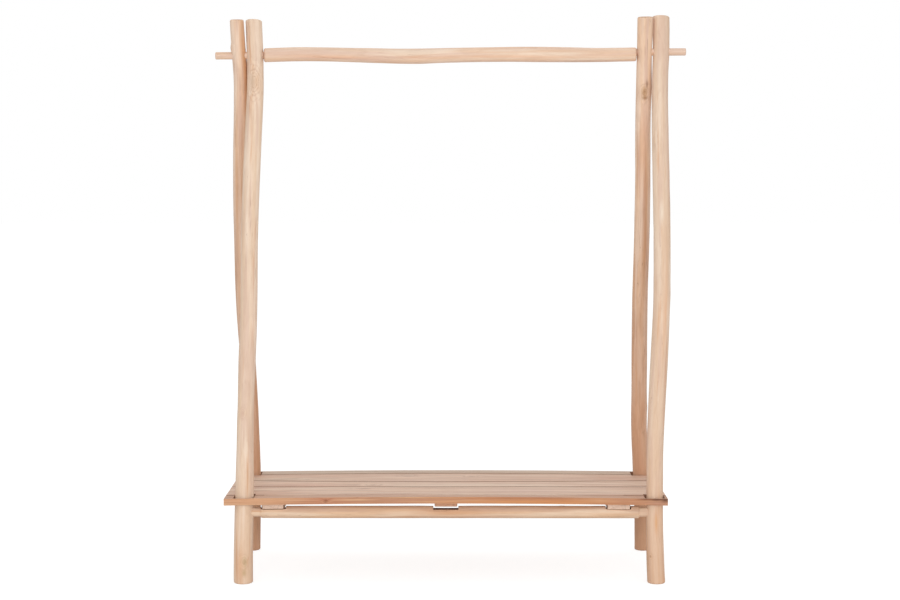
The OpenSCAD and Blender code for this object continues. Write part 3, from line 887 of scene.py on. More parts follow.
class HewnSkin:
    """A Geometry Nodes tree that hews long shallow flats and hollows into a branch."""

    def __init__(self) -> None:
        """Build the tree, with its sizes as named inputs."""
        sizes = {"Depth": 0.0006, "Flat Width": 0.016, "Flat Length": 0.09, "Seed": 0.0}
        made = GeometryTree("Hewn Skin", {"Branch": "Geometry", **dict.fromkeys(sizes, "Float")}, "Hewn")
        for name, size in sizes.items():
            made.sockets[name].default_value = size
        g, start = made.graph, made.start
        log = g.node("GeometryNodeInputNamedAttribute", {"Name": LOG_ATTRIBUTE}, data_type="FLOAT_VECTOR")
        mask = g.node("GeometryNodeInputNamedAttribute", {"Name": ROUGH_ATTRIBUTE}, data_type="FLOAT")
        place = g.drawn_out(log.outputs["Attribute"], start["Flat Width"], start["Flat Length"])
        place = g.vector("ADD", place, g.combine(start["Seed"], 0.0, 0.0))
        flats = g.math("SUBTRACT", g.noise(place, 2.0, 0.45), 0.5)
        height = g.math("MULTIPLY", g.math("MULTIPLY", flats, 2.0), start["Depth"])
        height = g.math("MULTIPLY", height, mask.outputs["Attribute"])
        normal = g.node("GeometryNodeInputNormal").outputs[0]
        offset = g.node("ShaderNodeVectorMath", {"Vector": normal, "Scale": height}, operation="SCALE")
        moved = g.node("GeometryNodeSetPosition", {"Geometry": start["Branch"], "Offset": offset.outputs[0]})
        g.feed(made.end, moved.outputs[0])
        self.made = made

    def apply(self, piece: bpy.types.Object, depth: float, seed: float) -> None:
        """Hew a piece.

        Args:
            piece: The branch, with its straightened coordinates stored.
            depth: Depth of the flats in metres.
            seed: Start of the random pattern.
        """
        self.made.run(piece, {"Depth": depth, "Seed": seed})


# ---- Branches ----


@dataclass
class Survey:
    """A branch's shape, measured on its solid against the straight line between its ends.

    Attributes:
        start: Centre of the first end.
        axis: Direction to the other end.
        cross: Direction of angle 0 around the branch.
        length: Distance between the ends.
        stations: Distances along the line at which it was measured.
        offsets: Sideways place of the centre at each station, in two columns.
        radii: Radius at each station and angle.
    """

    start: Vector
    axis: Vector
    cross: Vector
    length: float
    stations: np.ndarray
    offsets: np.ndarray
    radii: np.ndarray

    REACH = 0.12  # How far out the rays start.
    ANGLES = 20
    ODD = 0.16  # Share by which a radius may differ from the typical one.
    MARGIN = 0.007  # From each end of the span to the nearest station.
    STEP = 0.018
    FEWEST = 8  # Radii that a circle is fitted to.
    EASE = 1.1  # Stations over which the shape is smoothed.
    WAVES = 6  # Ripples round a ring that are kept.

    @property
    def other(self) -> Vector:
        """Direction of angle 90 around the branch."""
        return self.axis.cross(self.cross)

    @classmethod
    def frame_of(cls, start: Vector, end: Vector, reference: Vector) -> tuple[Vector, Vector, Vector]:
        """Return the axis between two ends and the two directions across it."""
        axis = (end - start).normalized()
        cross = (reference - axis * reference.dot(axis)).normalized()
        return axis, cross, axis.cross(cross)

    @classmethod
    def ring(cls, tree: BVHTree, centre: Vector, cross: Vector, other: Vector) -> np.ndarray:
        """Measure radii around a centre from outside, with gaps where a hole is met."""
        radii = np.full(cls.ANGLES, np.nan)
        for j, angle in enumerate(around(cls.ANGLES)):
            out = cross * math.cos(angle) + other * math.sin(angle)
            hit = tree.ray_cast(centre + out * cls.REACH, -out, cls.REACH)
            if hit[0] is not None:
                radii[j] = cls.REACH - hit[3]
        if np.isnan(radii).all():
            return radii
        typical = np.nanmedian(radii)
        radii[np.abs(radii - typical) > cls.ODD * typical] = np.nan
        return radii

    @classmethod
    def measure(
        cls, tree: BVHTree, start: Vector, end: Vector, reference: Vector, span: tuple[float, float]
    ) -> "Survey":
        """Measure a branch.

        Args:
            tree: The solid's search tree.
            start: Centre of its first end.
            end: Centre of its other end.
            reference: Direction of angle 0 around it.
            span: Part of the line to measure, in metres from the start.

        Returns:
            The survey.
        """
        axis, cross, other = cls.frame_of(start, end, reference)
        count = max(4, round((span[1] - span[0] - 2 * cls.MARGIN) / cls.STEP))
        stations = np.linspace(span[0] + cls.MARGIN, span[1] - cls.MARGIN, count + 1)
        angles = around(cls.ANGLES)
        offset = np.zeros(2)
        offsets, radii = [], []
        for t in stations:
            ring = None
            for _ in range(3):
                centre = start + axis * t + cross * offset[0] + other * offset[1]
                found = cls.ring(tree, centre, cross, other)
                good = ~np.isnan(found)
                if good.sum() < cls.FEWEST:
                    break
                ring = found
                x, y = found[good] * np.cos(angles[good]), found[good] * np.sin(angles[good])
                rows = np.stack([2 * x, 2 * y, np.ones_like(x)], axis=1)
                fit = np.linalg.lstsq(rows, x * x + y * y, rcond=None)[0]
                offset = offset + fit[:2]
            if ring is None:
                ring = radii[-1]
            typical = np.nanmedian(ring)
            offsets.append(offset.copy())
            radii.append(np.where(np.isnan(ring), typical, ring))
        kernel = np.exp(-0.5 * (np.arange(-3, 4) / cls.EASE) ** 2)
        kernel /= kernel.sum()

        def eased(rows: np.ndarray) -> np.ndarray:
            """Return rows smoothed along the branch, with both ends carried on straight."""
            before = [2 * rows[0] - rows[i] for i in (3, 2, 1)]
            after = [2 * rows[-1] - rows[-1 - i] for i in (1, 2, 3)]
            long = np.concatenate([before, rows, after])
            return np.stack([np.convolve(column, kernel, "valid") for column in long.T], axis=1)

        length = (end - start).length
        return cls(start, axis, cross, length, stations, eased(np.array(offsets)), eased(np.array(radii)))

    def offset_at(self, t: np.ndarray) -> np.ndarray:
        """Return the centre's sideways place at distances along the line."""
        return self._at(self.offsets, t)

    def radii_at(self, t: np.ndarray, angles: np.ndarray) -> np.ndarray:
        """Return radii at distances along the line, in rows, and angles around it, in columns."""
        waves = np.fft.rfft(self._at(self.radii, t), axis=1) / self.ANGLES
        total = np.repeat(waves[:, :1].real, len(angles), axis=1)
        for k in range(1, self.WAVES + 1):
            total = total + 2 * (waves[:, k : k + 1] * np.exp(1j * k * angles)[None, :]).real
        return total

    def _at(self, rows: np.ndarray, t: np.ndarray) -> np.ndarray:
        """Return rows at distances along the line, on smooth cubics through the stations."""
        s = self.stations
        slopes = np.gradient(rows, s, axis=0)
        t = np.asarray(t, float)
        i = np.clip(np.searchsorted(s, t) - 1, 0, len(s) - 2)
        width = s[i + 1] - s[i]
        inner = np.clip((t - s[i]) / width, 0.0, 1.0)
        beyond = (np.minimum(t - s[0], 0.0) + np.maximum(t - s[-1], 0.0))[:, None]
        x, width = inner[:, None], width[:, None]
        value = (2 * x**3 - 3 * x**2 + 1) * rows[i] + (x**3 - 2 * x**2 + x) * width * slopes[i]
        value = value + (3 * x**2 - 2 * x**3) * rows[i + 1] + (x**3 - x**2) * width * slopes[i + 1]
        return value + beyond * np.where(beyond < 0, slopes[0], slopes[-1])


@dataclass
class Rows:
    """Rings of points from which a branch's skin is made, in order along it."""

    t: list[float] = field(default_factory=list)
    offset: list[np.ndarray] = field(default_factory=list)
    radii: list[np.ndarray] = field(default_factory=list)
    level: list[float] = field(default_factory=list)
    hewn: list[float] = field(default_factory=list)

    def add(self, t: float, offset: np.ndarray, radii: np.ndarray, level: float, hewn: float) -> None:
        """Add a ring.

        Args:
            t: Distance along the line.
            offset: The centre's sideways place.
            radii: Radii around the ring.
            level: 1 where the ring lies level, as on the floor, and 0 where it is square.
            hewn: How much the knife marks show.
        """
        self.t.append(t)
        self.offset.append(offset)
        self.radii.append(radii)
        self.level.append(level)
        self.hewn.append(hewn)

    def cap(
        self, t: float, offset: np.ndarray, rim: np.ndarray, level: float, shares: Iterable[float]
    ) -> None:
        """Add the rings that close an end.

        Args:
            t: Distance along the line.
            offset: The centre's sideways place.
            rim: Radii around the end.
            level: 1 where the end lies level, and 0 where it is square.
            shares: Each ring's share of the rim's radii.
        """
        for share in shares:
            self.add(t, offset, rim * share, level, 0.0)


class Grain(Enum):
    """The places of a piece's materials: along the grain, across it, left raw and darkened as painted shade, and
    an outer side.
    """

    ALONG = 0
    ACROSS = 1
    RAW = 2
    OUTER = 3


class Branch:
    """A peeled branch that stands for one solid."""

    SIDES = 72
    RING_STEP = 0.005
    CAP_SHARES = (0.82, 0.6, 0.35)
    END_DEPTH = 0.0006  # Corners this near an end belong to it.
    END_ZONE = 0.03  # Faces this near an end may be sawn across.
    END_FACING = 0.8  # How squarely such a face looks along the branch.
    WALL_SHARE = 0.86  # Faces under this share of the radius are a hole's walls.
    FADE = 0.02  # Distance from an end over which the knife marks fade in.
    CREASE = 38.0  # Edges sharper than this many degrees stay crisp.
    LIP = 0.0007  # Height of the lip round a knot's scar.
    LIP_AT, LIP_WIDTH = 1.15, 0.35  # Where it runs and how wide, in sizes of the knot.
    DISH = 0.0006  # Depth of the dish inside it.
    DISH_WIDTH = 0.6
    SWELL_WIDTH = 1.3  # Width of the swelling round a knot, in its sizes.

    def __init__(self, node: str, body: str, finish: Teak, marks: Marks, reference: Vector) -> None:
        """Keep what the branch is made from.

        Args:
            node: The solid it stands for.
            body: The body that it rides on.
            finish: Its wood.
            marks: Its knots and patches.
            reference: Direction of angle 0 around it.
        """
        self.node, self.body, self.finish, self.marks = node, body, finish, marks
        self.reference = reference
        self.tree = tree_of(node)
        self.survey: Survey | None = None
        self.piece: bpy.types.Object | None = None

    def placed(self) -> Marks:
        """Return the knots and patches in straightened coordinates."""
        length = self.survey.length
        return Marks(*(
            tuple(replace(m, along=m.along * length, side=math.radians(m.side)) for m in kind)
            for kind in (self.marks.knots, self.marks.patches)
        ))

    def scar(self, t: float, angles: np.ndarray, radii: np.ndarray) -> np.ndarray:
        """Return the relief of the knots' scars on a ring: a raised lip round a shallow dish."""
        relief = np.zeros_like(radii)
        for knot in self.placed().knots:
            turn = (angles - knot.side + math.pi) % (2 * math.pi) - math.pi
            away = np.hypot((t - knot.along) / knot.stretch, turn * radii) / knot.size
            lip = self.LIP * np.exp(-(((away - self.LIP_AT) / self.LIP_WIDTH) ** 2))
            dish = self.DISH * np.exp(-((away / self.DISH_WIDTH) ** 2))
            swelling = knot.swelling * np.exp(-((away / self.SWELL_WIDTH) ** 2))
            relief += (lip - dish) * min(1.0, 2.0 * knot.depth) + swelling
        return relief

    def skin(self, rows: Rows) -> bpy.types.Object:
        """Make the skin through rings, closed at both ends.

        Args:
            rows: The rings.

        Returns:
            The new object.
        """
        s = self.survey
        n = self.SIDES
        angles = around(n)
        axis, cross, other = np.array(s.axis), np.array(s.cross), np.array(s.other)
        out = np.cos(angles)[:, None] * cross + np.sin(angles)[:, None] * other
        places, logs, marks = [], [], []
        for t, offset, radii, level, hewn in zip(rows.t, rows.offset, rows.radii, rows.level, rows.hewn):
            normal = axis * (1 - level) + np.array(UP) * level
            lift = -radii * (out @ normal) / (axis @ normal)
            centre = np.array(s.start) + axis * t + cross * offset[0] + other * offset[1]
            places.append(centre + out * radii[:, None] + axis * lift[:, None])
            logs.append(np.stack([radii * np.cos(angles), radii * np.sin(angles), t + lift], axis=1))
            marks.append(np.full(n, hewn))
        count = len(places)
        first, last = places[0].mean(axis=0), places[-1].mean(axis=0)
        points = np.concatenate([*places, [first, last]])
        faces = [
            (i * n + j, i * n + (j + 1) % n, (i + 1) * n + (j + 1) % n, (i + 1) * n + j)
            for i in range(count - 1)
            for j in range(n)
        ]
        faces += [(count * n, (j + 1) % n, j) for j in range(n)]
        base = (count - 1) * n
        faces += [(count * n + 1, base + j, base + (j + 1) % n) for j in range(n)]
        mesh = bpy.data.meshes.new(self.node + "_wood")
        mesh.from_pydata(points.tolist(), [], faces)
        log = np.concatenate([*logs, [[0, 0, rows.t[0]], [0, 0, rows.t[-1]]]])
        store_vectors(mesh, LOG_ATTRIBUTE, log)
        hewn_marks = mesh.attributes.new(ROUGH_ATTRIBUTE, "FLOAT", "POINT")
        hewn_marks.data.foreach_set("value", np.concatenate([*marks, [0.0, 0.0]]))
        return new_object(self.node + "_wood", mesh)

    def straightened(self, points: np.ndarray) -> tuple[np.ndarray, np.ndarray, np.ndarray]:
        """Return how far points lie across, beside and along the branch."""
        s = self.survey
        away = points - np.array(s.start)
        t = away @ np.array(s.axis)
        centre = self.centre_at(t)
        return away @ np.array(s.cross) - centre[:, 0], away @ np.array(s.other) - centre[:, 1], t

    def restore_log(self) -> None:
        """Work out the straightened coordinates again, after cutting."""
        mesh = self.piece.data
        for name in (LOG_ATTRIBUTE, ROUGH_ATTRIBUTE):
            if name in mesh.attributes:
                mesh.attributes.remove(mesh.attributes[name])
        places = self.straightened(rows_of(mesh.vertices, "co"))
        store_vectors(mesh, LOG_ATTRIBUTE, np.stack(places, axis=1))

    def centre_at(self, t: np.ndarray) -> np.ndarray:
        """Return the centre's sideways place at distances along the line."""
        return self.survey.offset_at(t)

    def dress(self, effects: WoodEffects) -> None:
        """Put on the wood: long grain all round, end grain on sawn ends, and raw wood darkened as painted shade
        inside holes.

        Args:
            effects: The shared wood groups.
        """
        mesh = self.piece.data
        mesh.materials.clear()
        for material in self.finish.coats(effects, Coordinates(), self.placed()):
            mesh.materials.append(material)
        axis, length = self.survey.axis, self.survey.length
        for face, cut_in in zip(mesh.polygons, self.inside()):
            t = (face.center - self.survey.start).dot(axis)
            near_end = t < self.END_ZONE or t > length - self.END_ZONE
            # Walls of bores, mortises and notches get the raw wood, whose darkness is painted shade.
            grain = Grain.RAW if cut_in else Grain.ALONG
            if near_end and abs(face.normal.dot(axis)) > self.END_FACING:
                grain = Grain.ACROSS
            face.material_index = grain.value
        smooth_faces(mesh, self.CREASE)

    def inside(self) -> np.ndarray:
        """Tell for each face whether it lies well under the skin, as the walls of a hole do."""
        s = self.survey
        across, beside, t = self.straightened(rows_of(self.piece.data.polygons, "center"))
        low, high = s.stations[0], s.stations[-1]
        skin = s.radii_at(np.clip(t, low, high), np.array([0.0])).mean(axis=1)
        return (np.hypot(across, beside) < self.WALL_SHARE * skin) & (t > low) & (t < high)

    def finish_piece(self, effects: WoodEffects) -> None:
        """Dress the piece and hand it to its body.

        Args:
            effects: The shared wood groups.
        """
        self.restore_log()
        self.dress(effects)
        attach(self.piece, self.body)
        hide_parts(self.node)
        slot = slot_of(self.node)
        faces, long = len(self.piece.data.polygons), self.survey.length * 1000
        LOG.info("%s: %d faces, %.0f mm long", self.piece.name, faces, long)


def store_vectors(mesh: bpy.types.Mesh, name: str, rows: np.ndarray) -> None:
    """Store a vector for each corner of a mesh."""
    made = mesh.attributes.new(name, "FLOAT_VECTOR", "POINT")
    made.data.foreach_set("vector", np.ascontiguousarray(rows, dtype=np.float32).ravel())


def bevel_stations(length: float, step: float, bevel: float) -> np.ndarray:
    """Return distances along a length, closer together over the bevel at each end."""
    near = bevel * np.array([0.0, 0.08, 0.25, 0.5, 0.75, 1.0])
    middle = np.linspace(bevel, length - bevel, max(2, round((length - 2 * bevel) / step)) + 1)
    return np.concatenate([near, middle[1:-1], length - near[::-1]])


def rounded(t: float, bevel: float) -> float:
    """Return how far a rounded edge is drawn in at a distance from the end."""
    steep, flat, depth = 1.6, 0.62, 0.9  # Powers of the curve, and its depth in bevels.
    share = min(max(t / bevel, 0.0), 1.0)
    return bevel * (1 - (1 - (1 - share) ** steep) ** flat) * depth


class Leg(Branch):
    """A leg: level on the floor, square at the top, bored for the bar and the rail."""

    TURN = 0.3  # Height over which the rings turn from level to square.
    BEVEL = 0.004
    HEWN = 0.0008  # Depth of the flats left by the knife.
    REACH = 0.08  # Half the length of a cutter for a hole.
    FOOT = 1e-5  # Corners this near the floor belong to the foot.
    PROBE = 0.004  # How far along a rail's tenon its mortise is measured.
    TIP_GAP = 0.0005  # Room past the tenon's tip.

    def build(self, skin: HewnSkin, rail: "LyingBranch", seed: float) -> None:
        """Build the leg.

        Args:
            skin: The tree that hews it.
            rail: The rail whose tenon it takes.
            seed: Start of its random pattern.
        """
        points = points_of(self.node)
        start = Vector(points[points[:, 2] < points[:, 2].min() + self.FOOT].mean(axis=0))
        axis = (Vector(points[points[:, 2].argmax()]) - start).normalized()
        for _ in range(3):
            reach = points @ np.array(axis)
            end = Vector(points[reach > reach.max() - self.END_DEPTH].mean(axis=0))
            axis = (end - start).normalized()
        length = (end - start).length
        self.survey = Survey.measure(self.tree, start, end, self.reference, (0.0, length))
        angles = around(self.SIDES)
        rows = Rows()
        stations = bevel_stations(length, self.RING_STEP, self.BEVEL)
        centres, radii = self.survey.offset_at(stations), self.survey.radii_at(stations, angles)
        drawn = rounded(0.0, self.BEVEL)
        rows.cap(0.0, centres[0], radii[0] - drawn, 1.0, reversed(self.CAP_SHARES))
        for t, centre, ring in zip(stations, centres, radii):
            inset = rounded(min(t, length - t), self.BEVEL)
            hewn = min(1.0, t / self.FADE, (length - t) / self.FADE)
            level = max(0.0, 1 - t / self.TURN)
            rows.add(t, centre, ring + self.scar(t, angles, ring) - inset, level, max(hewn, 0.0))
        rows.cap(length, centres[-1], radii[-1] - drawn, 0.0, self.CAP_SHARES)
        self.piece = self.skin(rows)
        skin.apply(self.piece, self.HEWN, seed)
        cut(self.piece, [self.bore(), self.mortise(rail)])

    def bore(self) -> bpy.types.Object:
        """Return a cutter for the hole that the bar's tenon turns in."""
        point, axis = bar_axis()
        share = (self.middle_at(point.z) - point).dot(axis)
        centre = point + axis * share
        hit = self.tree.ray_cast(centre, UP.cross(axis))
        return cylinder("bore", centre - axis * self.REACH, centre + axis * self.REACH, hit[3])

    def middle_at(self, height: float) -> Vector:
        """Return the leg's centre at a height."""
        s = self.survey
        t = (height - s.start.z) / s.axis.z
        offset = s.offset_at(np.array([t]))[0]
        return s.start + s.axis * t + s.cross * offset[0] + s.other * offset[1]

    def mortise(self, rail: "LyingBranch") -> bpy.types.Object:
        """Return a cutter for the blind hole that a rail's tenon sits in."""
        ends = sorted((rail.start, rail.end), key=lambda end: (end - self.middle_at(end.z)).length)
        tip, away = ends[0], (ends[1] - ends[0]).normalized()
        hit = self.tree.ray_cast(tip + away * self.PROBE, UP)
        return cylinder("mortise", tip - away * self.TIP_GAP, tip + away * self.REACH, hit[3])


class LyingBranch(Branch):
    """A branch that lies along X, with a round tenon at each end."""

    BEVEL = 0.004
    TIP_BEVEL = 0.002
    TIP_RINGS = ((0.0, 1.0), (0.3, 0.35), (1.0, 0.0))  # How far along and drawn in, in bevels.
    HEWN = 0.0006
    STEP = 0.0005  # Between the radii that find the shoulders.
    TIP = 0.004  # Left out of them at each end.
    PROBE = 0.01  # Past that, where a tenon's own radius is taken.
    RISE = 0.3  # Share of the way from tenon to branch where the shoulder starts.
    TENON_RINGS = 12

    def __init__(self, node: str, body: str, finish: Teak, marks: Marks) -> None:
        """Find the ends and measure the branch between its shoulders.

        Args:
            node: The solid it stands for.
            body: The body that it rides on.
            finish: Its wood.
            marks: Its knots and patches.
        """
        super().__init__(node, body, finish, marks, -UP)
        points = points_of(node)
        left, right = points[:, 0].min(), points[:, 0].max()
        self.start = Vector(points[points[:, 0] < left + self.END_DEPTH].mean(axis=0))
        self.end = Vector(points[points[:, 0] > right - self.END_DEPTH].mean(axis=0))
        self.length = (self.end - self.start).length
        axis, cross, other = Survey.frame_of(self.start, self.end, self.reference)
        steps = np.arange(self.TIP, self.length - self.TIP, self.STEP)
        places = [self.start + axis * float(t) for t in steps]
        profile = np.array([np.nanmedian(Survey.ring(self.tree, place, cross, other)) for place in places])
        near = round(self.PROBE / self.STEP)
        self.tenon = (float(profile[near]), float(profile[-1 - near]))
        middle = float(np.median(profile))
        limits = [r + self.RISE * (middle - r) for r in self.tenon]
        self.shoulders = (
            float(steps[np.argmax(profile > limits[0])]),
            float(steps[len(steps) - 1 - np.argmax(profile[::-1] > limits[1])]),
        )
        self.survey = Survey.measure(self.tree, self.start, self.end, self.reference, self.shoulders)

    def centre_at(self, t: np.ndarray) -> np.ndarray:
        """Return the centre's sideways place, which is 0 on the tenons."""
        inside = (t > self.shoulders[0]) & (t < self.shoulders[1])
        return np.where(inside[:, None], self.survey.offset_at(np.clip(t, *self.shoulders)), 0.0)

    def build(self, skin: HewnSkin, cutters: Sequence[bpy.types.Object], seed: float) -> None:
        """Build the branch.

        Args:
            skin: The tree that hews it.
            cutters: Shapes to take out of it.
            seed: Start of its random pattern.
        """
        angles = around(self.SIDES)
        rows = Rows()
        left, right = self.shoulders
        zero = np.zeros(2)
        full = np.ones(self.SIDES)
        tip, inset = (self.TIP_BEVEL * np.array(shares) for shares in zip(*self.TIP_RINGS))
        rims = [full * (radius - self.TIP_BEVEL) for radius in self.tenon]
        rows.cap(0.0, zero, rims[0], 0.0, reversed(self.CAP_SHARES))
        for t, drawn in zip(tip, inset):
            rows.add(float(t), zero, full * (self.tenon[0] - drawn), 0.0, 0.0)
        for t in np.linspace(self.TIP_BEVEL, left, self.TENON_RINGS)[1:]:
            rows.add(float(t), zero, full * self.tenon[0], 0.0, 0.0)
        stations = left + bevel_stations(right - left, self.RING_STEP, self.BEVEL)
        centres, radii = self.survey.offset_at(stations), self.survey.radii_at(stations, angles)
        for t, centre, ring in zip(stations, centres, radii):
            near = min(t - left, right - t)
            root = self.tenon[0] if t < (left + right) / 2 else self.tenon[1]
            surface = ring + self.scar(t, angles, ring) - rounded(near, self.BEVEL)
            hewn = max(0.0, min(1.0, near / self.FADE))
            rows.add(float(t), centre, np.maximum(surface, root), 0.0, hewn)
        for t in np.linspace(right, self.length - self.TIP_BEVEL, self.TENON_RINGS)[:-1]:
            rows.add(float(t), zero, full * self.tenon[1], 0.0, 0.0)
        for t, drawn in zip(tip[::-1], inset[::-1]):
            rows.add(self.length - float(t), zero, full * (self.tenon[1] - drawn), 0.0, 0.0)
        rows.cap(self.length, zero, rims[1], 0.0, self.CAP_SHARES)
        self.piece = self.skin(rows)
        skin.apply(self.piece, self.HEWN, seed)
        if cutters:
            cut(self.piece, cutters)


# ---- Sub-assemblies ----


@dataclass
class Stand:
    """Four legs in two crossed pairs, and the two rails between them.

    Attributes:
        effects: The shared wood groups.
        skin: The tree that hews branches.
        notch_air: Air beside a batten in its notch.
        notch_over: How far a notch's cutter reaches over the rail.
        notch_half: Half the length of a notch's cutter across the rail.
    """

    effects: WoodEffects
    skin: HewnSkin
    notch_air: float = 0.003
    notch_over: float = 0.05
    notch_half: float = 0.06

    FRONT = Teak(
        "pale_teak", "eed7c1", "e6caaf", "ddbfaa", "d8a680", "a2765a", streaks=0.36, figure=0.12
    )
    REAR = Teak(
        "brown_teak", "f0d6c0", "e9c6a8", "d8b5a0", "cb9875", "8a624a",
        streaks=0.5, figure=0.15, foot_browning=0.8, foot_browning_reach=(0.2, 1.4),
    )
    RAIL = Teak(
        "rail_teak", "ebcfb4", "e4be9c", "d5b096", "d6a076", "94664a",
        # This dark sawn colour is painted shade in the notches that the battens sit in.
        streaks=0.36, figure=0.15, sawn="6f4a36",
    )

    def build(self) -> None:
        """Build the rails first, because the legs' mortises are cut to their tenons."""
        worn = Marks((Knot(0.77, 150.0, 0.004),), (Patch(0.5, 265.0, 0.11, 0.012, "cf9468", 0.6),))
        front = self.rail("front_rail", 15.0, worn)
        rear = self.rail("rear_rail", 21.0, Marks((Knot(0.3, 80.0, 0.006), Knot(0.66, 120.0, 0.005))))
        front_left = Marks(
            (
                Knot(0.886, 270.0, 0.0095, 2.2, 0.1, 0.4),
                Knot(0.297, 256.0, 0.005, 1.5, 0.2, 0.15),
                Knot(0.037, 284.0, 0.006, 1.4, 0.3, 0.15),
                Knot(0.62, 100.0, 0.007),
            ),
            (
                Patch(0.037, 284.0, 0.014, 0.007, "bfae86", 0.8),
                Patch(0.018, 280.0, 0.012, 0.006, "b89c6c", 0.7),
                Patch(0.03, 255.0, 0.05, 0.012, "dba67c", 0.5),
                Patch(0.887, 257.0, 0.026, 0.007, "c9b9a2", 0.6),
            ),
        )
        rear_left = Marks(
            (
                Knot(0.949, 190.0, 0.006, 1.3, 0.9, 0.3, swelling=0.0034),
                Knot(0.4, 30.0, 0.006),
                Knot(0.72, 85.0, 0.006),
            ),
            (Patch(0.9, 322.0, 0.22, 0.011, "d0925c", 0.75), Patch(0.7, 250.0, 0.16, 0.01, "cf9a70", 0.5)),
        )
        front_right = Marks(
            (Knot(0.5, 20.0, 0.006), Knot(0.046, 232.0, 0.003, 1.2, 0.8), Knot(0.71, 60.0, 0.007)),
            (
                Patch(0.647, 262.0, 0.035, 0.007, "f3e4d0", 0.7),
                Patch(0.45, 290.0, 0.2, 0.009, "dda67c", 0.5),
                Patch(0.105, 274.0, 0.032, 0.005, "dba26e", 0.7),
            ),
        )
        rear_right = Marks(
            (Knot(0.868, 272.0, 0.006, 1.7, 0.5, 0.2), Knot(0.28, 10.0, 0.006), Knot(0.55, 100.0, 0.006)),
            (
                Patch(0.868, 270.0, 0.016, 0.009, "be9460", 0.8),
                Patch(0.858, 274.0, 0.005, 0.008, "86603c", 0.8),
                Patch(0.882, 288.0, 0.012, 0.004, "86604a", 0.8),
                Patch(0.77, 262.0, 0.12, 0.012, "d99f70", 0.5),
                Patch(0.6, 290.0, 0.22, 0.009, "bd8154", 0.65),
            ),
        )
        peach = replace(self.FRONT, pale="e9d1ba", body="e1c3a8", foot_browning_reach=(0.0, 0.6))
        pale = replace(self.FRONT, foot_browning=0.25, foot_browning_reach=(0.0, 0.5))
        self.leg("front_left", replace(pale, seed=3.0), front_left, front)
        self.leg("front_right", replace(peach, seed=5.0, streaks=0.5, foot_browning=0.5), front_right, front)
        self.leg("rear_left", replace(self.REAR, seed=9.0), rear_left, rear)
        self.leg("rear_right", replace(self.REAR, seed=12.0), rear_right, rear)

    def leg(self, corner: str, finish: Teak, marks: Marks, rail: LyingBranch) -> None:
        """Build the leg of one corner, in a wood of its own grain."""
        finish = replace(finish, name=corner + "_teak")
        leg = Leg(corner + "_leg", "stand", finish, marks, RIGHT)
        leg.build(self.skin, rail, finish.seed)
        leg.finish_piece(self.effects)

    def rail(self, node: str, seed: float, marks: Marks) -> LyingBranch:
        """Build one rail with a notch for each batten, and return it."""
        rail = LyingBranch(node, "stand", replace(self.RAIL, name=node + "_teak", seed=seed), marks)
        cutters = [self.notch(rail, cleat) for cleat in ("left_cleat", "middle_cleat", "right_cleat")]
        rail.build(self.skin, cutters, seed)
        rail.finish_piece(self.effects)
        return rail

    def notch(self, rail: LyingBranch, cleat: str) -> bpy.types.Object:
        """Return a cutter for one notch, with its floor where the solid has it.

        Args:
            rail: The rail that the notch is in.
            cleat: The solid of the batten that sits in it.

        Returns:
            The cutter.
        """
        low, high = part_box(cleat)
        box_low, box_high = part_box(rail.node)
        y = (box_low[1] + box_high[1]) / 2
        left, right = low[0] - self.notch_air, high[0] + self.notch_air
        top, quarter = box_high[2] + self.notch_over, 0.25 * (right - left)
        floor = [rail.tree.ray_cast(Vector((x, y, top)), -UP)[0].z for x in (left + quarter, right - quarter)]
        slope = (floor[1] - floor[0]) / (right - left - 2 * quarter)
        bm = bmesh.new()
        bmesh.ops.create_cube(bm, size=1.0)
        for corner in bm.verts:
            x = left if corner.co.x < 0 else right
            z = floor[0] + slope * (x - left - quarter) if corner.co.z < 0 else top
            corner.co = Vector((x, y + math.copysign(self.notch_half, corner.co.y), z))
        return from_bmesh("notch", bm)


@dataclass
class HangingBar:
    """The bar, which rolls in the legs' bores on its turned tenons."""

    effects: WoodEffects
    skin: HewnSkin

    WOOD = Teak(
        "bar_teak", "efd8c2", "e6c3a7", "dfbfac", "d8a47c", "a27857", streaks=0.4, figure=0.12, seed=27.0
    )
    MARKS = Marks(
        (Knot(0.3, 150.0, 0.006, 1.5, 0.4), Knot(0.71, 60.0, 0.007)),
        (
            Patch(0.35, 218.0, 0.35, 0.009, "d9c5b3", 0.6),
            Patch(0.8, 225.0, 0.2, 0.008, "dbc3b0", 0.5),
            Patch(0.25, 294.0, 0.11, 0.006, "e6ae8a", 0.6),
            Patch(0.62, 290.0, 0.22, 0.006, "e8b490", 0.6),
            # These two narrow dark bands near the shoulders, on the front, are painted shade where the bar meets
            # the legs.
            Patch(0.1035, 270.0, 0.004, 0.03, "ac785c", 0.7),
            Patch(0.896, 270.0, 0.004, 0.03, "a06c54", 0.7),
        ),
    )

    def build(self) -> None:
        """Build the bar and hand it to its body."""
        bar = LyingBranch("hanging_bar", "bar", self.WOOD, self.MARKS)
        bar.build(self.skin, [], self.WOOD.seed)
        bar.finish_piece(self.effects)


class Sawn(Enum):
    """The cuts of sawn wood in the shelf."""

    BOARD = "board"
    BATTEN = "batten"


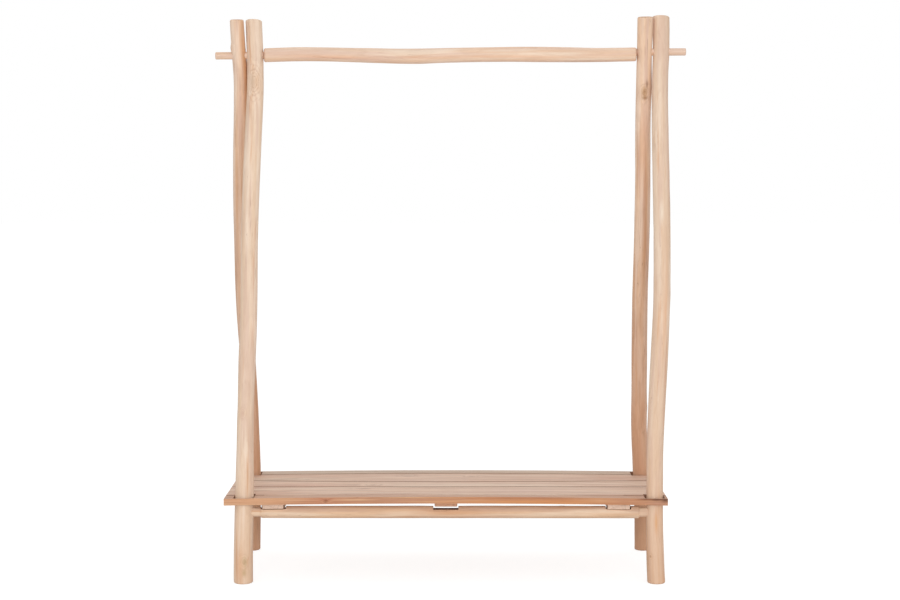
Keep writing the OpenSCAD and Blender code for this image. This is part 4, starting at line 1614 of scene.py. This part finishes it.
@dataclass
class Plank:
    """A sawn piece of the shelf that stands for one solid.

    Attributes:
        node: The solid.
        cut: The kind of sawn piece.
        finish: Its wood.
        pith: Where its log's pith lay, in metres across and above the shelf's middle.
        marks: Knots and patches on its top, placed by share of length and metres across.
        outer: The wood of its planed outer side, which faces front or rear.
        outer_marks: Knots and patches on that side, placed by share of length and height.
        ease: Width of its eased edges.
        uneven: How far its long edges wander.
    """

    node: str
    cut: Sawn
    finish: Teak
    pith: tuple[float, float]
    marks: Marks = Marks()
    outer: Teak | None = None
    outer_marks: Marks = Marks()
    ease: float = 0.0018
    uneven: float = 0.0007

    SLICE = 0.02  # Distance between the cuts that let a long side wander.
    RIM = 35.0  # Angle in degrees from which an edge is eased.
    SHORTEST = 0.0045  # Shorter edges belong to screw holes and are left as they are.
    SLIVER = 2e-5  # Smaller faces, in square metres, belong to screw holes and stay in place.
    OUTER_DEPTH = 0.014  # How far in from a board's outermost edge its outer side may lie.
    CREASE = 25.0  # Edges sharper than this many degrees stay crisp.
    FLAT = 0.05  # Faces that meet at less than this many degrees are joined.
    END_FACING = {Sawn.BOARD: 0.8, Sawn.BATTEN: 0.97}  # How squarely an end looks along.
    SIDE_FACING = 0.7  # How squarely a long side looks across.
    TILT = 0.25  # From here on a face counts as looking up, out or along.
    WAVES = 7.0  # Wanders of a long side in a metre.
    APART = 3.0  # Sets the wanders of the two sides apart.
    INWARD = 0.8  # Keeps them inside the solid.

    def build(self, effects: WoodEffects) -> bpy.types.Object:
        """Build the plank and hand it to the shelf.

        Args:
            effects: The shared wood groups.

        Returns:
            The new object.
        """
        bm = merged(self.node)
        flat = math.radians(self.FLAT)
        bmesh.ops.dissolve_limit(bm, angle_limit=flat, verts=bm.verts, edges=bm.edges)
        bmesh.ops.recalc_face_normals(bm, faces=bm.faces)
        low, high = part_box(self.node)
        along = 1 if self.cut is Sawn.BATTEN else 0
        start, end = low[along], high[along]
        normal = (RIGHT, Vector((0.0, 1.0, 0.0)))[along]
        for place in np.arange(start + self.SLICE, end - self.SLICE / 2, self.SLICE):
            whole = bm.verts[:] + bm.edges[:] + bm.faces[:]
            bmesh.ops.bisect_plane(bm, geom=whole, plane_co=normal * float(place), plane_no=normal)
        self.wander(bm, along)
        rims = [e for e in bm.edges if self.is_rim(e)]
        bmesh.ops.bevel(
            bm, geom=rims, offset=self.ease, segments=2, profile=0.5, affect="EDGES", clamp_overlap=True
        )
        piece = from_bmesh(self.node + "_wood", bm)
        mesh = piece.data
        sawn = SawnCoordinates(
            taper=0.004, heart=0.1, cracks=0.25, wander_length=0.5, pith=self.pith, along=along
        )
        top = self.placed(self.marks, start, end, lambda side: (side - self.pith[0], high[2] - self.pith[1]))
        for material in self.finish.coats(effects, sawn, top):
            mesh.materials.append(material)
        facing = math.copysign(1.0, low[1] + high[1])
        edge = high[1] if facing > 0 else low[1]
        if self.outer:
            away = edge - self.pith[0]
            side = self.placed(self.outer_marks, start, end, lambda height: (away, height - self.pith[1]))
            mesh.materials.append(self.outer.long_grain(effects, sawn, side))
        for face in mesh.polygons:
            near = abs(face.center.y - edge) < self.OUTER_DEPTH
            face.material_index = self.dressed(face, along, facing if near else 0.0).value
        smooth_faces(mesh, self.CREASE)
        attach(piece, "shelf")
        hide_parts(self.node)
        slot = slot_of(self.node)
        LOG.info("%s: %d faces, seed %.0f", piece.name, len(mesh.polygons), self.finish.seed)
        return piece

    @staticmethod
    def placed(
        marks: Marks, start: float, end: float, off_pith: Callable[[float], tuple[float, float]]
    ) -> Marks:
        """Return marks placed in straightened coordinates.

        Args:
            marks: Knots and patches, placed by share of length and by where they lie on a side.
            start: Where the plank starts along its grain.
            end: Where it ends.
            off_pith: Gives how far across and above the pith a place on that side is.

        Returns:
            The same marks, by distance along and angle around the pith.
        """
        span = end - start
        return Marks(*(
            tuple(replace(m, along=start + m.along * span, side=math.atan2(*off_pith(m.side))) for m in kind)
            for kind in (marks.knots, marks.patches)
        ))

    def dressed(self, face: bpy.types.MeshPolygon, along: int, outward: float) -> Grain:
        """Choose a face's material.

        Args:
            face: The face.
            along: Axis that the grain follows.
            outward: 1 or -1 towards the outer side if the face is near it, or 0.

        Returns:
            The place of its material.
        """
        batten = self.cut is Sawn.BATTEN
        lengthwise, up = abs(face.normal[along]), face.normal.z
        if lengthwise > self.END_FACING[self.cut]:
            return Grain.ACROSS
        if batten:
            # The eased edges at a batten's ends that look down or sideways get the dark raw wood: a painted shadow
            # outline.
            return Grain.RAW if lengthwise > self.TILT and up < self.TILT else Grain.ALONG
        outside = outward * face.normal.y > self.TILT
        # The eased top edge of the outer side gets the dark raw wood as a painted shadow line.
        if self.outer and up > self.TILT and outside:
            return Grain.RAW
        if abs(up) > 0.5:
            return Grain.ALONG
        if outside:
            return Grain.OUTER if self.outer else Grain.ALONG
        # Long sides in the joints between boards and the walls of the legs' holes get the raw wood as painted
        # shade.
        return Grain.RAW

    def wander(self, bm: bmesh.types.BMesh, along: int) -> None:
        """Move the long sides in by a little that varies along them.

        Args:
            bm: The plank's mesh.
            along: Axis that the grain follows.
        """
        across = 1 - along
        bm.normal_update()
        moves = []
        for corner in bm.verts:
            sides = [f for f in corner.link_faces if abs(f.normal[across]) > self.SIDE_FACING]
            if not sides or any(f.calc_area() < self.SLIVER for f in sides):
                continue
            facing = math.copysign(1.0, sum(f.normal[across] for f in sides))
            seed = self.finish.seed
            place = Vector((corner.co[along] * self.WAVES, facing * self.APART + seed, seed))
            moves.append((corner, facing * self.uneven * (noise.noise(place) - self.INWARD)))
        for corner, shift in moves:
            corner.co[across] += shift

    def is_rim(self, edge: bmesh.types.BMEdge) -> bool:
        """Tell whether an edge is a long and sharp one, which a maker would ease."""
        sharp = len(edge.link_faces) == 2 and edge.calc_face_angle() > math.radians(self.RIM)
        return sharp and edge.calc_length() > self.SHORTEST


@dataclass
class ScrewRow:
    """The screws of one batten, driven up from below.

    Attributes:
        node: The solid that holds the row.
        head: Radius of the head.
        recess: Depth of the cross recess.
        seed: Start of the heads' random turns.
    """

    node: str
    head: float = 0.0038
    recess: float = 0.0016
    seed: int = 7

    SIDES = 32
    # The head from its face upwards: share of its radius, and height.
    PROFILE = ((0.93, 0.0), (1.0, 0.00018), (1.0, 0.0004), (0.5, 0.0022), (0.5, 0.006))
    FACE = 0.0006  # Corners of the solid this near its lowest belong to the head's face.
    ARM = 0.62  # Half the length of the cross, as a share of the head's radius.
    ARM_FLOOR = 0.3
    BLADE = 0.0006  # Half the width of the cross.
    BLADE_FLOOR = 0.6  # How much of that is left at its floor.
    BELOW = 0.001  # How far under the face its cutter starts.
    CREASE = 30.0  # Edges sharper than this many degrees stay crisp.

    def places(self) -> list[Vector]:
        """Return the middle of each head, found from the solids' islands."""
        bm = merged(self.node)
        left = dict.fromkeys(bm.verts)
        found = []
        while left:
            heap, island = [left.popitem()[0]], []
            while heap:
                corner = heap.pop()
                island.append(corner.co.copy())
                for edge in corner.link_edges:
                    other = edge.other_vert(corner)
                    if other in left:
                        left.pop(other)
                        heap.append(other)
            floor = min(p.z for p in island)
            rim = [p for p in island if p.z < floor + self.FACE]
            found.append(sum(rim, Vector()) / len(rim))
        bm.free()
        return sorted(found, key=lambda p: (round(p.y, 3), p.x))

    def head_mesh(self) -> bpy.types.Object:
        """Return one countersunk head with a cross recess, its face at the origin and looking down."""
        bm = bmesh.new()
        middle = bm.verts.new((0.0, 0.0, 0.0))
        rings = [
            [bm.verts.new((r * math.cos(a), r * math.sin(a), z)) for a in around(self.SIDES)]
            for r, z in ((share * self.head, z) for share, z in self.PROFILE)
        ]
        for j in range(self.SIDES):
            k = (j + 1) % self.SIDES
            bm.faces.new((middle, rings[0][k], rings[0][j]))
            for a, b in zip(rings, rings[1:]):
                bm.faces.new((a[j], a[k], b[k], b[j]))
        bm.faces.new(list(reversed(rings[-1])))
        bmesh.ops.recalc_face_normals(bm, faces=bm.faces)
        head = from_bmesh("screw_head", bm)
        cutters = []
        for turn in (0.0, math.pi / 2):
            block = bmesh.new()
            bmesh.ops.create_cube(block, size=1.0)
            for corner in block.verts:
                deep = corner.co.z > 0
                wide = self.BLADE * (self.BLADE_FLOOR if deep else 1.0)
                long = self.head * (self.ARM_FLOOR if deep else self.ARM)
                x, y = math.copysign(long, corner.co.x), math.copysign(wide, corner.co.y)
                z = self.recess if deep else -self.BELOW
                corner.co = Matrix.Rotation(turn, 3, "Z") @ Vector((x, y, z))
            cutters.append(from_bmesh("cross", block))
        cut(head, cutters)
        return head

    def build(self, steel: bpy.types.Material) -> None:
        """Set a head at each place, each turned its own way.

        Args:
            steel: The screws' material.
        """
        head = self.head_mesh()
        places = self.places()
        mesh = bpy.data.meshes.new("places")
        mesh.from_pydata([tuple(p) for p in places], [], [])
        piece = new_object(self.node + "_heads", mesh)
        inputs = {"Places": "Geometry", "Head": "Object", "Seed": "Int", "Steel": "Material"}
        made = GeometryTree("Driven Screws", inputs, "Screws")
        g, start = made.graph, made.start
        info = g.node("GeometryNodeObjectInfo", {"Object": start["Head"]})
        turn = g.node("FunctionNodeRandomValue", {"Seed": start["Seed"]}, data_type="FLOAT_VECTOR")
        turn.inputs["Min"].default_value = (0.0, 0.0, 0.0)
        turn.inputs["Max"].default_value = (0.0, 0.0, math.pi / 2)
        inputs = {"Points": start["Places"], "Instance": info.outputs["Geometry"]}
        inputs |= {"Rotation": turn.outputs[0]}
        placed = g.node("GeometryNodeInstanceOnPoints", inputs)
        real = g.node("GeometryNodeRealizeInstances", {"Geometry": placed.outputs[0]})
        dressed = g.node("GeometryNodeSetMaterial", {"Geometry": real.outputs[0], "Material": start["Steel"]})
        g.feed(made.end, dressed.outputs[0])
        made.run(piece, {"Head": head, "Seed": self.seed, "Steel": steel})
        bpy.data.objects.remove(head)
        smooth_faces(piece.data, self.CREASE)
        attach(piece, "shelf")
        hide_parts(self.node)
        LOG.info("%s: %d screws", piece.name, len(places))


@dataclass
class Shelf:
    """Five boards on three battens, which lift off the rails together."""

    effects: WoodEffects

    BOARD = Teak(
        "board_teak", "ebd2be", "dfbda6", "d2af9b", "bf8f78", "7d5a48",
        streaks=0.4, figure=0.3, spacing=0.0045, wander=0.02, broad=(0.012, 0.7), roughness=0.6,
    )
    EDGE = Teak(
        "edge_teak", "d8ac86", "c8916c", "bb876a", "b47048", "7a4628",
        streaks=0.4, figure=0.3, spacing=0.004, wander=0.014, broad=(0.008, 0.4), roughness=0.6,
    )
    BATTEN = Teak(
        "batten_teak", "eed5c2", "e8cbb6", "dbbaa4", "d6a888", "94664a",
        streaks=0.4, figure=0.3, spacing=0.004, wander=0.012, broad=(0.01, 0.3), roughness=0.66,
        # This near-black sawn colour is painted shade: the outline at the ends of the left and right battens.
        sawn="50301f",
    )

    def planks(self) -> list[Plank]:
        """Return the boards from front to rear, then the battens."""

        def board(
            node: str, seed: float, pith: tuple[float, float], marks: Marks = Marks(),
            wood: Teak = self.BOARD, **more: object,
        ) -> Plank:
            """Return a board in its own grain."""
            wood = replace(wood, name=node + "_teak", seed=seed)
            return Plank(node, Sawn.BOARD, wood, pith, marks, **more)

        def batten(
            node: str, seed: float, pith: tuple[float, float], wood: Teak = self.BATTEN
        ) -> Plank:
            """Return a batten in its own grain."""
            wood = replace(wood, name=node + "_teak", seed=seed)
            return Plank(node, Sawn.BATTEN, wood, pith, ease=0.0028)

        brown_batten = replace(self.BATTEN, pale="dcb094", body="cf9e80", cool="c79a80", sawn="d8b49a")
        brown = replace(self.BOARD, pale="d4b098", body="c59d85", cool="bc9885", streak="aa765f")
        grey = replace(self.BOARD, pale="d8c0ac", body="c8ae98", cool="baa592", streak="b28f78")

        face = Marks(
            (Knot(0.23, 0.257, 0.0045, 1.5, 0.9),),
            (
                Patch(0.22, 0.258, 0.07, 0.012, "ba7a5f", 0.7),
                Patch(0.71, 0.252, 0.25, 0.006, "d68f55", 0.7),
                Patch(0.71, 0.266, 0.25, 0.005, "b06f48", 0.6),
                Patch(0.9, 0.258, 0.05, 0.008, "b98468", 0.6),
                Patch(0.98, 0.247, 0.04, 0.007, "c09078", 0.8),
                Patch(0.06, 0.253, 0.13, 0.008, "dfae88", 0.75),
                Patch(0.95, 0.2635, 0.025, 0.005, "6a4232", 0.9),
                Patch(0.975, 0.2615, 0.02, 0.005, "5e3a2c", 0.95),
                Patch(0.994, 0.2595, 0.014, 0.006, "54352a", 0.95),
            ),
        )
        return [
            board(
                "front_edge_board", 31.0, (-0.3, 0.2), wood=brown,
                outer=replace(self.EDGE, name="front_face_teak", seed=31.0), outer_marks=face,
            ),
            board("front_board", 33.0, (-0.12, 0.16), Marks(
                (Knot(0.31, -0.09, 0.005, 2.2, 0.4),),
                (Patch(0.68, -0.12, 0.16, 0.02, "e2c6b8", 0.6), Patch(0.1, -0.15, 0.12, 0.03, "d2a78e", 0.5)),
            )),
            board("centre_board", 35.0, (-0.03, 0.18), Marks(
                (Knot(0.33, -0.03, 0.006, 2.2),), (Patch(0.15, -0.02, 0.14, 0.03, "dbb09a", 0.6),)
            )),
            board(
                "rear_board", 37.0, (0.11, 0.15),
                Marks(
                    (Knot(0.41, 0.13, 0.007, 2.4, 0.8), Knot(0.56, 0.12, 0.006, 2.2, 0.8)),
                    (
                        Patch(0.9, 0.11, 0.08, 0.03, "d3a28a", 0.6),
                        Patch(0.12, 0.08, 0.1, 0.03, "c7b09a", 0.5),
                    ),
                ),
            ),
            board("rear_edge_board", 39.0, (0.26, 0.2), wood=grey),
            batten("left_cleat", 41.0, (-0.6, 0.12)),
            batten("middle_cleat", 43.0, (0.03, 0.12), brown_batten),
            batten("right_cleat", 45.0, (0.55, 0.12)),
        ]

    def build(self) -> None:
        """Build the planks and their screws."""
        for plank in self.planks():
            plank.build(self.effects)
        steel = ScrewSteel().build()
        for node in ("left_cleat_screws", "middle_cleat_screws", "right_cleat_screws"):
            ScrewRow(node).build(steel)


# ---- Studio ----


@dataclass(frozen=True)
class Lamp:
    """A soft rectangular lamp."""

    name: str
    place: tuple[float, float, float]
    target: tuple[float, float, float]
    size: tuple[float, float]
    power: float


@dataclass
class Studio:
    """A white room with soft light, and the camera.

    Attributes:
        eye: The camera's place.
        dip: How far it looks down, in degrees.
        lens: Its focal length in millimetres, on a sensor 36 mm wide.
        sky: Strength of the light from all round.
        floor_tone: How pale the floor is to the light that it throws back.
        floor_shade: How much of the shadow shows on it.
        floor_glow: What it adds to look white.
        lamps: The lamps.
    """

    eye: tuple[float, float, float] = (-0.002, -5.573, 1.3072)
    dip: float = 4.584
    lens: float = 70.0
    sky: float = 0.66
    floor_tone: float = 0.8
    floor_shade: float = 0.4
    floor_glow: float = 0.78
    lamps: tuple[Lamp, ...] = (
        Lamp("key", (-1.0, -5.8, 1.9), (0.0, 0.0, 0.9), (2.4, 2.0), 76.0),
        Lamp("fill", (1.5, -5.6, 1.5), (0.0, 0.0, 0.9), (2.2, 2.0), 59.0),
        Lamp("top", (0.0, 0.6, 4.6), (0.0, 0.0, 0.3), (3.0, 2.4), 28.0),
    )

    FLOOR = 60.0  # Length of the floor's sides.
    SENSOR = 36.0  # Width of the camera's sensor in millimetres.
    FAR = 100.0  # How far the camera sees.

    def build(self) -> None:
        """Build the floor, the sky, the lamps and the camera."""
        self.floor()
        self.world()
        for lamp in self.lamps:
            self.light(lamp)
        self.camera()

    @staticmethod
    def seen(g: Graph) -> Socket:
        """Return 1 for rays that show a thing itself: straight, mirrored or through glass."""
        path = g.node("ShaderNodeLightPath").outputs
        glossy = g.math("MAXIMUM", path["Is Glossy Ray"], path["Is Transmission Ray"])
        return g.math("MAXIMUM", path["Is Camera Ray"], glossy)

    def floor(self) -> None:
        """Lay a plain floor that looks white and keeps the shadow."""
        bpy.ops.mesh.primitive_plane_add(size=self.FLOOR, location=(0.0, 0.0, 0.0))
        floor = bpy.context.object
        floor.name = "floor"
        material = bpy.data.materials.new("floor_white")
        material.use_nodes = True
        tree = material.node_tree
        tree.nodes.clear()
        g = Graph(tree)
        plain = g.node("ShaderNodeBsdfDiffuse", {"Color": grey(self.floor_tone)})
        shade = g.node("ShaderNodeBsdfDiffuse", {"Color": grey(self.floor_shade)})
        glow = g.node("ShaderNodeEmission", {"Color": grey(1.0), "Strength": self.floor_glow})
        both = tree.nodes.new("ShaderNodeAddShader")
        tree.links.new(shade.outputs[0], both.inputs[0])
        tree.links.new(glow.outputs[0], both.inputs[1])
        mixed = tree.nodes.new("ShaderNodeMixShader")
        g.feed(mixed.inputs[0], self.seen(g))
        tree.links.new(plain.outputs[0], mixed.inputs[1])
        tree.links.new(both.outputs[0], mixed.inputs[2])
        out = tree.nodes.new("ShaderNodeOutputMaterial")
        tree.links.new(mixed.outputs[0], out.inputs["Surface"])
        floor.data.materials.append(material)

    def world(self) -> None:
        """Light the room evenly, with white behind everything."""
        world = bpy.data.worlds.new("studio")
        bpy.context.scene.world = world
        world.use_nodes = True
        tree = world.node_tree
        tree.nodes.clear()
        g = Graph(tree)
        soft = g.node("ShaderNodeBackground", {"Color": grey(1.0), "Strength": self.sky})
        white = g.node("ShaderNodeBackground", {"Color": grey(1.0), "Strength": 1.0})
        mixed = tree.nodes.new("ShaderNodeMixShader")
        g.feed(mixed.inputs[0], self.seen(g))
        tree.links.new(soft.outputs[0], mixed.inputs[1])
        tree.links.new(white.outputs[0], mixed.inputs[2])
        out = tree.nodes.new("ShaderNodeOutputWorld")
        tree.links.new(mixed.outputs[0], out.inputs["Surface"])

    @staticmethod
    def light(lamp: Lamp) -> None:
        """Hang one lamp."""
        data = bpy.data.lights.new(lamp.name, "AREA")
        data.shape = "RECTANGLE"
        data.size, data.size_y = lamp.size
        data.energy = lamp.power
        made = bpy.data.objects.new(lamp.name, data)
        bpy.context.scene.collection.objects.link(made)
        made.location = lamp.place
        aim = Vector(lamp.target) - Vector(lamp.place)
        made.rotation_euler = aim.to_track_quat("-Z", "Y").to_euler()

    def camera(self) -> None:
        """Set the camera up level, looking slightly down."""
        data = bpy.data.cameras.new("camera")
        data.lens = self.lens
        data.sensor_width = self.SENSOR
        data.clip_end = self.FAR
        made = bpy.data.objects.new("camera", data)
        bpy.context.scene.collection.objects.link(made)
        made.location = self.eye
        made.rotation_euler = (math.radians(90.0 - self.dip), 0.0, 0.0)
        bpy.context.scene.camera = made
        bpy.context.scene.view_settings.view_transform = "Standard"


def main() -> None:
    """Build the rack and its studio."""
    logging.basicConfig(level=logging.INFO, format="%(name)s %(message)s", stream=sys.stdout)
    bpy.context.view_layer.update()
    effects = WoodEffects()
    skin = HewnSkin()
    Stand(effects, skin).build()
    HangingBar(effects, skin).build()
    Shelf(effects).build()
    Studio().build()


if __name__ == "__main__":
    main()
